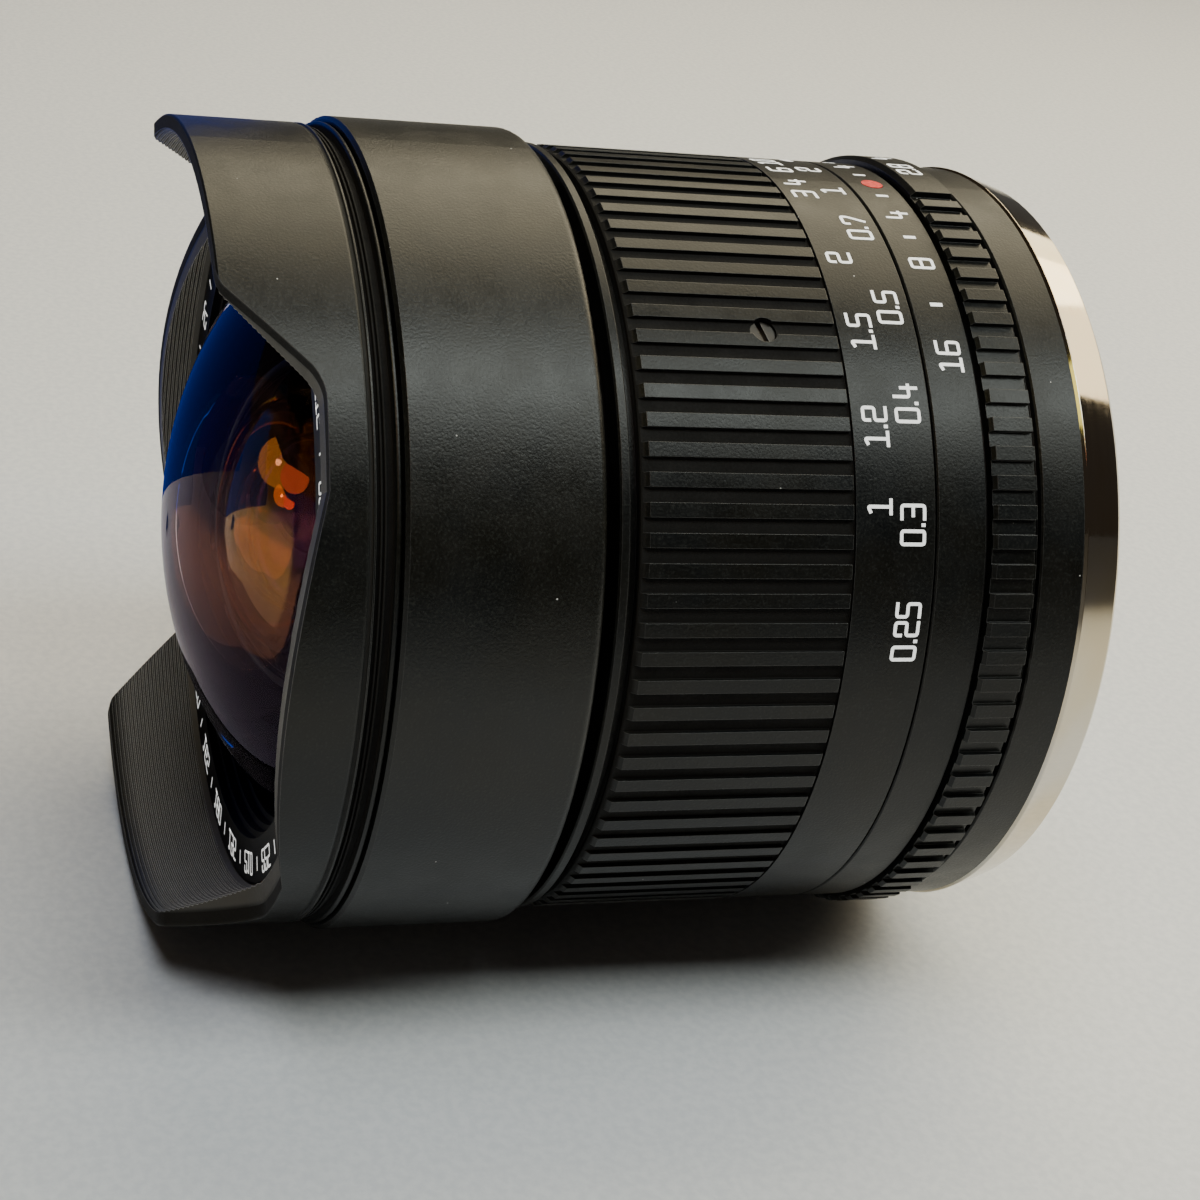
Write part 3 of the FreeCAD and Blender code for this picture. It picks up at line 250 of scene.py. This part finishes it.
barrel_finish = anodised("barrel_black", (0.0030, 0.0034, 0.0027), 0.36, 0.026, dust=0.028, index=1.43)
hood_finish = anodised("hood_black", (0.0028, 0.0032, 0.0026), 0.36, 0.022, dust=0.026, index=1.40,
                       pit=(33.2, 34.3), inner=(0.075, 0.070, 0.062))
ribs_finish = anodised("ribs_black", (0.0028, 0.0031, 0.0028), 0.35, 0.020, dust=0.024, index=1.37,
                       pit=(33.0, 33.65))
ring_finish = anodised("ring_black", (0.0028, 0.0031, 0.0027), 0.36, 0.020, dust=0.024, index=1.37)
print("outside:", names(barrel_finish, hood_finish, ribs_finish, ring_finish))

# %% [markdown]
# Inside, the cells, baffles and iris parts are painted or dyed dead black, so that no stray light
# reaches the picture. Turned faces still show faint rings left by the tool. The rings come from noise
# that is read at the distance from the axis and along the axis only, so that it repeats round it.

# %% Dead black of the inner parts
def dead_black(name, base, rough, index):
    """Black dye on turned metal."""
    f = Finish(name)
    soft = f.rounded(0.06)
    wear_and_highlight = f.edge(soft)
    rings = f.noise(0.13, 2.0, f.round_axis())
    cloud = f.noise(4.0, 3.0)
    dye_and_painted_light = f.blend(f.between(cloud, 0.3, 0.7), times(base, 0.7), times(base, 1.4))
    # Edges get a lighter grey: partly wear, partly a painted highlight where they catch the light.
    dye_and_painted_light = f.blend(wear_and_highlight * 0.3, dye_and_painted_light, (0.1, 0.1, 0.1))
    roughness = rough + (rings - 0.5) * 0.12
    normal = f.bump(rings, 0.004, soft)
    f.surface({"Base Color": dye_and_painted_light, "Roughness": roughness, "Normal": normal, "IOR": index})
    return f.material


inner_finish = dead_black("inner_dead_black", (0.002, 0.002, 0.0022), 0.50, 1.25)
name_ring_finish = dead_black("name_ring_black", (0.002, 0.002, 0.0028), 0.45, 1.20)
print("inside:", names(inner_finish, name_ring_finish))

# %% [markdown]
# The bayonet is brass plated with chrome. It was turned on a lathe, which leaves fine rings, and
# the plating on top shines. The rings spread a reflection along the axis, so the ring shows broad
# bands. The bands are slightly warm where the brass below shows through thin plating. Rings of two
# sizes feed the roughness, the finer ones also the bump, and slow noise tints the metal.

# %% Turned metals
def turned_metal(name, cool, warm, rough, depth_mm=0.0016):
    """Bare or plated metal off the lathe, between two tints."""
    f = Finish(name)
    soft = f.rounded(0.08)
    round_axis = f.round_axis()
    fine = f.noise(0.09, 2.0, round_axis)
    coarse = f.noise(0.7, 2.0, round_axis)
    stain = f.noise(16.0, 3.0)
    scratch = f.between(f.noise(1.6, 5.0), 0.6, 0.75)
    tint = f.blend(f.between(stain, 0.38, 0.62), cool, warm)
    tint = f.blend(f.edge(soft) * 0.5, tint, times(cool, 1.15))
    roughness = rough + (fine - 0.5) * 0.10 + (coarse - 0.5) * 0.08 + scratch * 0.06
    normal = f.bump(fine, depth_mm, soft)
    f.surface({"Base Color": tint, "Metallic": 1.0, "Roughness": roughness, "Normal": normal})
    return f.material


chrome_finish = turned_metal("bayonet_chrome", (0.60, 0.56, 0.49), (0.58, 0.49, 0.34), 0.07, 0.0004)
brass_finish = turned_metal("worked_brass", (0.76, 0.58, 0.27), (0.66, 0.47, 0.20), 0.32)
blade_finish = turned_metal("blade_steel_blued", (0.09, 0.095, 0.11), (0.12, 0.11, 0.10), 0.40)
dark_steel_finish = turned_metal("screw_steel_black", (0.08, 0.08, 0.085), (0.10, 0.09, 0.08), 0.32)
bright_steel_finish = turned_metal("hardened_steel", (0.62, 0.62, 0.64), (0.58, 0.56, 0.52), 0.22)
print("metals:", names(chrome_finish, brass_finish, blade_finish, dark_steel_finish, bright_steel_finish))

# %% [markdown]
# Each glass has a coating a fraction of a wavelength thick, which tints what it still reflects: mauve
# on the front glass, amber and orange on those behind it, green at the rear. The principled shader
# has a thin film for this, but its colour changes fast with the thickness, and at a slant its glass
# mirrors so much that the dome turns milky. So each glass is a clear refraction mixed with two
# mirrors, one with the tint seen straight on and one with the tint seen at a slant. Layer Weight
# gives the slant, and its fifth power is the way in which real glass begins to mirror near its rim.
# The hollow behind the dome is another matter. Light that meets it from inside the glass beyond a
# certain slant can't get out, so there it is a full mirror, which shows as a thin bright crescent. It is
# found by its distance from the centre of its sphere. The ground edge of the dome is painted black.

# %% Coated glass
GLASS_INDEX = 1.6
EDGE_BLACK = (0.004, 0.004, 0.004)
BAND_FADE = 0.012  # over this much of the slant a crescent fades in and out
WHITE_BLUE = (0.85, 0.9, 1.0)
PALE_ORANGE = (1.0, 0.6, 0.3)


def coated_glass(name, front, hollow=None, body=(1.0, 1.0, 1.0), clear_mm=None):
    """Clear glass with a coating, a second one in its hollow, and a black edge beyond a radius.

    A coating is its tint straight on, its tint at a slant, and the share that it mirrors of each. A
    hollow is the place of its apex, its radius, the slants between which it mirrors, and its coating.
    """
    f = Finish(name)
    clear = f.add("BsdfRefraction", inputs={"Color": (*body, 1.0), "Roughness": 0.0, "IOR": GLASS_INDEX})
    slant = f.add("LayerWeight", inputs={"Blend": 0.5}, output="Facing")

    def mirror(tint):
        return f.add("BsdfAnisotropic", inputs={"Color": (*tint, 1.0), "Roughness": 0.0})

    def coated(coating, turn):
        """The glass under a coating that turns from its first tint to its second."""
        straight, aslant, face, rim = coating
        first, second = mirror(straight), mirror(aslant)
        tinted = f.add("MixShader", inputs={0: turn ** 0.5, 1: first, 2: second})
        return f.add("MixShader", inputs={0: face + (rim - face) * turn, 1: clear, 2: tinted})

    both = coated(front, slant ** 5.0)
    if hollow:
        apex_mm, radius_mm, (low, high), coating = hollow
        centre = f.add("CombineXYZ", inputs={0: 0.0, 1: (radius_mm - apex_mm) * MM, 2: 0.0})
        reach = f.add("VectorMath", {"operation": "DISTANCE"}, {0: f.place, 1: centre}, "Value")
        inside = f.between(reach, (radius_mm + 0.4) * MM, (radius_mm + 0.2) * MM)
        band = f.between(slant, low, low + BAND_FADE) * f.between(slant, high, high - BAND_FADE)
        both = f.add("MixShader", inputs={0: inside, 1: both, 2: coated(coating, band)})
    if clear_mm:
        black = f.add("BsdfDiffuse", inputs={"Color": (*EDGE_BLACK, 1.0)})
        ground_edge = f.between(f.radius(), clear_mm * MM, (clear_mm + 0.1) * MM)
        both = f.add("MixShader", inputs={0: ground_edge, 1: both, 2: black})
    f.show(both)
    return f.material


front_hollow = (70.6, 17.2, (0.262, 0.35), ((1.0, 0.36, 0.15), WHITE_BLUE, 0.09, 1.0))
front_glass = coated_glass("coated_mauve", ((0.55, 0.36, 0.62), (0.84, 0.86, 1.0), 0.02, 0.6),
                           front_hollow, body=(0.95, 0.94, 0.97), clear_mm=25.4)
second_hollow = (61.5, 10.6, (0.26, 2.0), ((1.0, 0.20, 0.03), PALE_ORANGE, 0.35, 0.8))
second_glass = coated_glass("coated_amber", ((1.0, 0.52, 0.06), WHITE_BLUE, 0.2, 1.0), second_hollow)
third_glass = coated_glass("coated_violet", ((0.55, 0.12, 0.40), (1.0, 0.5, 0.6), 0.25, 0.6))
amber_glass = coated_glass("coated_orange", ((1.0, 0.26, 0.05), PALE_ORANGE, 0.25, 0.5))
rear_glass = coated_glass("coated_green", ((0.45, 1.0, 0.62), (0.9, 1.0, 0.95), 0.04, 0.5))
print("glasses:", names(front_glass, second_glass, third_glass, amber_glass, rear_glass))

# %% [markdown]
# The figures on the rings are engraved and filled with white paint, and the index mark is a dot of red
# enamel. Paint in an engraving is matt, a little uneven, and greyer where it has worn thin. Both glow
# faintly in their own colour, painted light that lifts the white above the grey that dim light would make of
# it.

# %% Paints
def paint(name, full, thin, glow):
    """Matt paint between its full colour and its colour where it is thin, with a faint painted glow."""
    f = Finish(name)
    patch = f.between(f.noise(0.35, 3.0), 0.35, 0.75)
    colour = f.blend(patch, full, thin)
    roughness = 0.45 + patch * 0.2
    normal = f.bump(f.noise(0.12), 0.006)
    f.surface({"Base Color": colour, "Roughness": roughness, "Normal": normal,
               "Emission Color": colour, "Emission Strength": glow})
    return f.material


white_paint = paint("figures_white", (0.92, 0.92, 0.90), (0.84, 0.84, 0.82), 0.8)
red_enamel = paint("index_red", (0.75, 0.02, 0.02), (0.55, 0.012, 0.012), 0.1)
print("paints:", names(white_paint, red_enamel))

# %% [markdown]
# Each CAD node gets its finish through the material slots that it came with. The record says which
# slot each node uses, and some of the outside pieces and glasses get a finish of their own.

# %% Finishes onto the CAD nodes
by_slot = {
    "black_anodised": ring_finish,
    "inner_black": inner_finish,
    "coated_glass": amber_glass,
    "chrome": chrome_finish,
    "brass": brass_finish,
    "blade_steel": blade_finish,
    "dark_steel": dark_steel_finish,
    "bright_steel": bright_steel_finish,
    "red_paint": red_enamel,
}
by_node = {
    "petal_hood": hood_finish,
    "front_barrel": barrel_finish,
    "focus_ring": ribs_finish,
    "name_ring": name_ring_finish,
    "front_element": front_glass,
    "second_element": second_glass,
    "third_element": third_glass,
    "tenth_element": rear_glass,
    "eleventh_element": rear_glass,
}
for name, node in nodes.items():
    for slot in node.material_slots:
        slot.material = by_node.get(name) or by_slot[slot.material.name.split(".")[0]]
print(len(nodes), "nodes have a finish,", len(by_node), "of them one of their own")

# %% [markdown]
# The figures are drawn with one stroke of even width and square shapes with rounded corners, as an
# engraving machine cuts them. Blender's own font has other shapes, so each figure is a line of
# corner points on a grid one unit wide and one high. The stroke is a flat ribbon along that line,
# bent round the ring and a little over a hundredth of a millimetre proud, like filled paint.

# %% Shapes of the figures
STROKES = {
    "0": [[(0, 0), (0, 1), (1, 1), (1, 0), (0, 0)]],
    "1": [[(0.12, 0.9), (0.5, 1), (0.5, 0)], [(0, 0), (1, 0)]],
    "2": [[(0, 0.74), (0, 1), (1, 1), (1, 0.5), (0, 0.5), (0, 0), (1, 0)]],
    "3": [[(0, 1), (1, 1), (1, 0), (0, 0)], [(0.25, 0.5), (1, 0.5)]],
    "4": [[(0.05, 1), (0.05, 0.34), (1, 0.34)], [(0.78, 0.66), (0.78, 0)]],
    "5": [[(1, 1), (0, 1), (0, 0.53), (1, 0.53), (1, 0), (0, 0)]],
    "6": [[(1, 1), (0, 1), (0, 0), (1, 0), (1, 0.53), (0, 0.53)]],
    "7": [[(0, 0.76), (0, 1), (1, 1), (1, 0.74), (0.42, 0)]],
    "8": [[(0, 0), (0, 1), (1, 1), (1, 0), (0, 0)], [(0, 0.52), (1, 0.52)]],
    "9": [[(1, 0.47), (0, 0.47), (0, 1), (1, 1), (1, 0), (0, 0)]],
    ".": [[(0.0, 0.03), (0.0, 0.06)]],
    "o": [[(0.5, 0.5), (0.75, 0.72), (1, 0.5), (0.75, 0.28), (0.25, 0.72), (0, 0.5), (0.25, 0.28),
           (0.5, 0.5)]],  # infinity
    "|": [[(0, 0), (0, 1)]],  # a tick
}
CORNER_MM = 0.22  # an arc begins this far from its corner
ARC_SHARE = 0.45  # and takes this much of a short run at most
ARC_STEPS = 4


def softened(points):
    """The line with each corner cut into a short arc."""
    closed = points[0] == points[-1]
    line = [Vector(point) for point in (points[:-1] if closed else points)]
    result = []
    for i, here in enumerate(line):
        if not closed and i in (0, len(line) - 1):
            result.append(here)
            continue
        before = line[i - 1] - here
        after = line[(i + 1) % len(line)] - here
        first = here + before.normalized() * min(CORNER_MM, before.length * ARC_SHARE)
        last = here + after.normalized() * min(CORNER_MM, after.length * ARC_SHARE)
        for step in range(ARC_STEPS + 1):
            t = step / ARC_STEPS
            result.append(first * (1 - t) ** 2 + here * 2 * t * (1 - t) + last * t ** 2)
    if closed:
        result.append(result[0])
    return result


print(len(STROKES), "shapes drawn")

# %% [markdown]
# A ring's surface is unrolled to a flat strip: u runs round it in the reading direction, and v along the
# axis towards the dome. A ribbon point goes back onto the ring by turning u into an angle. The name
# ring is flat instead, so there v runs outwards. Long runs are divided so that they follow the curve.

# %% Ribbons on the rings
RUN_MM = 0.5  # longest straight run of a ribbon
PROUD_MM = 0.015  # its top lies this high above the ring
SUNK_MM = -0.04  # and its foot this far below the surface
SHARPEST = 0.5  # a corner's cosine counts as this at least, so that no corner sticks out far


def on_ring(radius, ahead, angle_deg):
    """Maps (u, v) in millimetres to a point on a ring, with figures that stand towards the dome."""
    def at(u, v, lift):
        a = math.radians(angle_deg) - u / radius
        r = radius + lift
        return Vector((r * math.sin(a), -(ahead + v), r * math.cos(a))) * MM
    return at


def on_face(radius, ahead, angle_deg):
    """Maps (u, v) in millimetres to a point on a flat face, with figures that stand outwards."""
    def at(u, v, lift):
        a = math.radians(angle_deg) - u / radius
        r = radius + v
        return Vector((r * math.sin(a), -(ahead + lift), r * math.cos(a))) * MM
    return at


def divided(line):
    """Adds points so that no run is longer than a ribbon's longest."""
    result = [line[0]]
    for last in line[1:]:
        first = result[-1]
        count = max(1, math.ceil((last - first).length / RUN_MM))
        result += [first.lerp(last, i / count) for i in range(1, count + 1)]
    return result


def ribbon(line, half, at, points, faces):
    """A low flat-topped strip along a line, added to lists of points and faces."""
    line = divided(line)
    closed = (line[0] - line[-1]).length < 1e-6
    base = len(points)
    if closed:
        line = line[:-1]
    count = len(line)
    for i, here in enumerate(line):
        before = line[i - 1] if closed or i else here
        after = line[(i + 1) % count] if closed or i < count - 1 else here
        into = (here - before).normalized() if (here - before).length else (after - here).normalized()
        out = (after - here).normalized() if (after - here).length else into
        along = (into + out).normalized()
        side = Vector((-along.y, along.x)) * half / max(SHARPEST, along.dot(into))
        here = here - into * half if i == 0 and not closed else here
        here = here + out * half if i == count - 1 and not closed else here
        for shift, height in ((side, SUNK_MM), (side, PROUD_MM), (-side, PROUD_MM), (-side, SUNK_MM)):
            points.append(at(here.x + shift.x, here.y + shift.y, height))
    for i in range(count if closed else count - 1):
        a, b = base + 4 * i, base + 4 * ((i + 1) % count)
        faces += [(a + k, a + k + 1, b + k + 1, b + k) for k in range(3)]
    if not closed:
        last = base + 4 * (count - 1)
        faces += [(base, base + 3, base + 2, base + 1), (last, last + 1, last + 2, last + 3)]


def write(text, at, high, wide, stroke, gap, points, faces):
    """Writes figures centred on the map's zero, both ways."""
    widths = [0.0 if c in ".|" else (wide * 1.5 if c == "o" else wide) for c in text]
    total = sum(widths) + gap * (len(text) - 1)
    u = -total / 2
    for c, w in zip(text, widths):
        for run in STROKES[c]:
            line = softened([(u + x * w, (y - 0.5) * high) for x, y in run])
            ribbon(line, stroke / 2, at, points, faces)
        u += w + gap


def painted(name, body, rows):
    """One piece with every row of figures on a ring, which rides on the ring's body."""
    points, faces = [], []
    for text, at, high, wide, stroke, gap in rows:
        write(text, at, high, wide, stroke, gap, points, faces)
    mesh = bpy.data.meshes.new(name)
    mesh.from_pydata(points, [], faces)
    mesh.update()
    piece = bpy.data.objects.new(name, mesh)
    bpy.context.scene.collection.objects.link(piece)
    mesh.materials.append(white_paint)
    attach(piece, body)
    print(name, len(rows), "marks,", len(faces), "faces")


print("ribbons can be wrapped onto rings")

# %% [markdown]
# The distances are in metres on the row next to the fixed collar and in feet on the row next to the ribs.
# A fisheye focuses with a short turn near infinity, so the figures crowd together there and spread out
# towards the near end. Their places are angles in degrees from the index mark. A row's place is how
# far it lies ahead of the mount's face.

# %% Distance scales
COLLAR_MM = 33.8  # radius of the smooth rings that carry the scales
METRES_ROW_MM, FEET_ROW_MM = 19.45, 22.4
FIGURE = (2.0, 1.05, 0.28, 0.5)  # height, width, stroke and gap in millimetres
METRES = {"o": -14.5, "2": -6.0, "1": 3.6, "0.7": 14.4, "0.5": 30.4, "0.4": 45.4, "0.3": 62.2, "0.25": 76.9}
FEET = {"10": -10.6, "6": -4.8, "4": 1.2, "3": 5.5, "2": 21.5, "1.5": 34.6, "1.2": 48.8, "1": 59.8}
rows = [(text, on_ring(COLLAR_MM, METRES_ROW_MM, angle), *FIGURE) for text, angle in METRES.items()]
rows += [(text, on_ring(COLLAR_MM, FEET_ROW_MM, angle), *FIGURE) for text, angle in FEET.items()]
painted("distance_figures", "focus_unit", rows)

# %% [markdown]
# The fixed collar shows how far the sharp zone reaches at each aperture, as pairs of figures
# either side of the index mark, with short ticks between them.

# %% Depth scale
DEPTH_ROW_MM = 14.9
TICK = (0.75, 0.0, 0.36, 0.0)
rows = []
for angle, text in ((10.4, "4"), (21.8, "8"), (38.1, "16")):
    rows += [(text, on_ring(COLLAR_MM, DEPTH_ROW_MM, side * angle), *FIGURE) for side in (1, -1)]
for angle in (4.5, 16.1, 29.6):
    rows += [("|", on_ring(COLLAR_MM, DEPTH_ROW_MM, side * angle), *TICK) for side in (1, -1)]
painted("depth_figures", "housing", rows)

# %% [markdown]
# The numbers of the aperture ring stand at even steps. At each one the iris lets in half the light of
# the one before it.

# %% Aperture numbers
APERTURE_MM, APERTURE_ROW_MM = 34.6, 10.65  # radius and row
FIRST_STOP, STOP_STEP = -4.5, 8.4  # degrees
STOPS = ("2.8", "4", "5.6", "8", "11", "16")
rows = [(text, on_ring(APERTURE_MM, APERTURE_ROW_MM, FIRST_STOP - STOP_STEP * i), *FIGURE)
        for i, text in enumerate(STOPS)]
painted("aperture_figures", "aperture_unit", rows)

# %% [markdown]
# The ring that holds the front glass carries small white figures. Here they are plain degrees, with
# ticks between, like those of a dial.

# %% Figures of the front ring
FACE_MM, FACE_PLACE_MM = 29.3, 66.4  # middle radius of the flat face, and its place ahead of the mount
SMALL_FIGURE = (1.8, 0.85, 0.2, 0.36)
SMALL_TICK = (1.0, 0.0, 0.2, 0.0)
STEP_DEG = 15
rows = []
for degrees in range(0, 360, STEP_DEG):
    rows.append((str(degrees), on_face(FACE_MM, FACE_PLACE_MM, -degrees), *SMALL_FIGURE))
    rows.append(("|", on_face(FACE_MM, FACE_PLACE_MM, -degrees - STEP_DEG / 2), *SMALL_TICK))
painted("front_ring_figures", "lens_unit", rows)

# %% [markdown]
# The camera stands where the photo was taken from: a little ahead of the dome, on the +X side and above
# the lens, and held slightly askew. Its place and turn were worked out once from the outline of the rings.

# %% Camera
eye = bpy.data.cameras.new("photographer")
eye.sensor_width = 36.0
eye.lens = 73.4229
eye.clip_start = 0.01
camera = bpy.data.objects.new("photographer", eye)
camera_turn = Matrix(((0.285718, -0.482075, 0.828232),
                      (0.945135, -0.001087, -0.326679),
                      (0.158385, 0.876129, 0.455315)))
camera.matrix_world = Matrix.Translation((0.187111, -0.106709, 0.095338)) @ camera_turn.to_4x4()
bpy.context.scene.collection.objects.link(camera)
bpy.context.scene.camera = camera
print("camera", [round(v, 4) for v in camera.location])

# %% [markdown]
# A pale, slightly grained sheet lies just under the widest ring and serves as the floor. Far from the lens
# it curves up like the sweep of a studio, so the camera sees no edge.

# %% Floor
FLOOR_MM = -35.05  # the widest ring ends at 35 mm
HALF_SIDE, CELLS = 1.6, 24  # metres, and cells each way
FLAT, FADE, RISE = 0.9, 0.7, 0.5  # metres; beyond FLAT the sheet rises by half of RISE over a length of FADE


def sweep():
    """A wide sheet that lies flat round the lens and rises smoothly far from it."""
    points, faces = [], []
    for i in range(CELLS + 1):
        for j in range(CELLS + 1):
            x = -HALF_SIDE + 2 * HALF_SIDE * i / CELLS
            y = -HALF_SIDE + 2 * HALF_SIDE * j / CELLS
            far = max(0.0, math.hypot(x, y) - FLAT) / FADE
            points.append((x, y, FLOOR_MM * MM + RISE * far ** 2 / 2))
    for i in range(CELLS):
        for j in range(CELLS):
            a = i * (CELLS + 1) + j
            faces.append((a, a + CELLS + 1, a + CELLS + 2, a + 1))
    mesh = bpy.data.meshes.new("table_top")
    mesh.from_pydata(points, [], faces)
    mesh.polygons.foreach_set("use_smooth", [True] * len(faces))
    floor = bpy.data.objects.new("table_top", mesh)
    bpy.context.scene.collection.objects.link(floor)
    f = Finish("pale_table")
    weave = f.noise(0.9, 4.0)
    colour = f.blend(f.between(weave, 0.3, 0.7), (0.70, 0.715, 0.75), (0.78, 0.79, 0.815))
    f.surface({"Base Color": colour, "Roughness": 0.62, "Normal": f.bump(weave, 0.03)})
    mesh.materials.append(f.material)


sweep()
print("floor at", FLOOR_MM, "mm")

# %% [markdown]
# Black satin shows the lights more than it shows itself, so the lights are placed by what each zone
# of the barrel should mirror. A warm panel above and behind gives the broad highlight along the top,
# a cooler one beside it the sheen on the middle, a third the light on the rear rings, and an oval one
# high above the front lights the hood.

# %% Lights
AIM = Vector((0.0, -0.035, 0.0))  # the middle of the lens
ALONG, ACROSS = (0.0, 1.0, 0.0), (1.0, 0.0, 0.0)  # ways to lay a panel's long side


def panel(name, place, wide, long, watts, colour, lie, shape="RECTANGLE"):
    """A soft box that faces the lens, with its long side laid along a direction."""
    back = (Vector(place) - AIM).normalized()
    across = Vector(lie).cross(back).normalized()
    lamp = bpy.data.lights.new(name, "AREA")
    lamp.shape = shape
    lamp.size = wide
    lamp.size_y = long
    lamp.energy = watts
    lamp.color = colour
    piece = bpy.data.objects.new(name, lamp)
    turn = Matrix((across, back.cross(across), back)).transposed()
    piece.matrix_world = Matrix.Translation(place) @ turn.to_4x4()
    piece.visible_camera = False
    bpy.context.scene.collection.objects.link(piece)
    print(name, "gives", round(watts / (math.pi * wide * long), 2), "W per square metre and steradian")


panel("top_panel", (-0.26, 0.17, 0.38), 0.43, 0.54, 2.9, (0.97, 0.86, 0.60), ALONG)
panel("side_panel", (0.20, 0.17, 0.45), 0.18, 0.48, 1.9, (0.93, 1.0, 0.93), ALONG)
panel("rear_panel", (-0.18, 0.56, 0.31), 0.20, 0.44, 0.9, (1.0, 0.82, 0.52), ACROSS)
panel("front_panel", (0.20, -0.23, 0.90), 0.34, 0.60, 2.9, (0.93, 0.97, 1.0), ACROSS, "ELLIPSE")

# %% [markdown]
# The glass mirrors all that stands round it, and with nothing but a pale floor and white lights there it
# would look grey. Three glowing discs and a card are there for its sake. A blue card behind the lens
# fills the upper part of the dome, and a yellow and a red disc with a small bright one make the patches
# and the glints in the second glass. The camera, the floor and the shadows don't see them.

# %% Pieces that only show in reflections
LENS_AWAY = 0.235  # metres, about the way from the camera to the middle of the lens
PICTURE = 1200  # rows and columns of the picture
DOME = Vector((0.0, -0.07, 0.0))  # a point in the front glass
DISC_SIDES = 32


def glowing(name, corners, colour, strength):
    """A flat glowing piece that only reflections see."""
    mesh = bpy.data.meshes.new(name)
    mesh.from_pydata(corners, [], [tuple(range(len(corners)))])
    piece = bpy.data.objects.new(name, mesh)
    bpy.context.scene.collection.objects.link(piece)
    f = Finish(name)
    f.show(f.add("Emission", inputs={"Color": (*colour, 1.0), "Strength": strength}))
    mesh.materials.append(f.material)
    piece.visible_camera = piece.visible_diffuse = piece.visible_shadow = False
    print(name, "stands at", [round(v, 3) for v in corners[0]])


def card(name, row, beyond, left, right, high, colour, strength):
    """A card that stands behind the lens, with its foot at a row of the picture."""
    across, up, back = (camera_turn.col[i] for i in range(3))
    far = LENS_AWAY + beyond
    above = up * far * (PICTURE / 2 - row) / PICTURE * eye.sensor_width / eye.lens
    foot = camera.location - back * far + above
    corners = ((left, 0), (right, 0), (right, high), (left, high))
    glowing(name, [foot + across * side + up * rise for side, rise in corners], colour, strength)


def disc(name, place, radius, colour, strength):
    """A round disc that faces the dome."""
    facing = (Vector(place) - DOME).to_track_quat("Z", "Y").to_matrix()
    turns = [math.tau * i / DISC_SIDES for i in range(DISC_SIDES)]
    rim = [facing @ Vector((radius * math.cos(a), radius * math.sin(a), 0.0)) for a in turns]
    glowing(name, [Vector(place) + point for point in rim], colour, strength)


card("blue_card", 500, 0.055, -0.45, -0.04, 0.13, (0.0, 0.10, 0.85), 0.5)
disc("warm_disc", (0.26, -0.42, 0.68), 0.24, (1.0, 0.85, 0.2), 2.1)
disc("red_disc", (0.42, -0.34, 0.62), 0.14, (1.0, 0.35, 0.2), 3.0)
disc("small_disc", (0.25, -0.44, 0.66), 0.03, (1.0, 0.95, 0.8), 25.0)

# %% [markdown]
# All round the studio it is dim and slightly warm, so that the shadows under the lens stay deep without
# going black.

# %% The studio
world = bpy.data.worlds.new("studio")
bpy.context.scene.world = world
world.use_nodes = True
around = world.node_tree.nodes["Background"].inputs
around["Color"].default_value = (0.060, 0.048, 0.038, 1.0)
around["Strength"].default_value = 0.5
print("a dim studio")
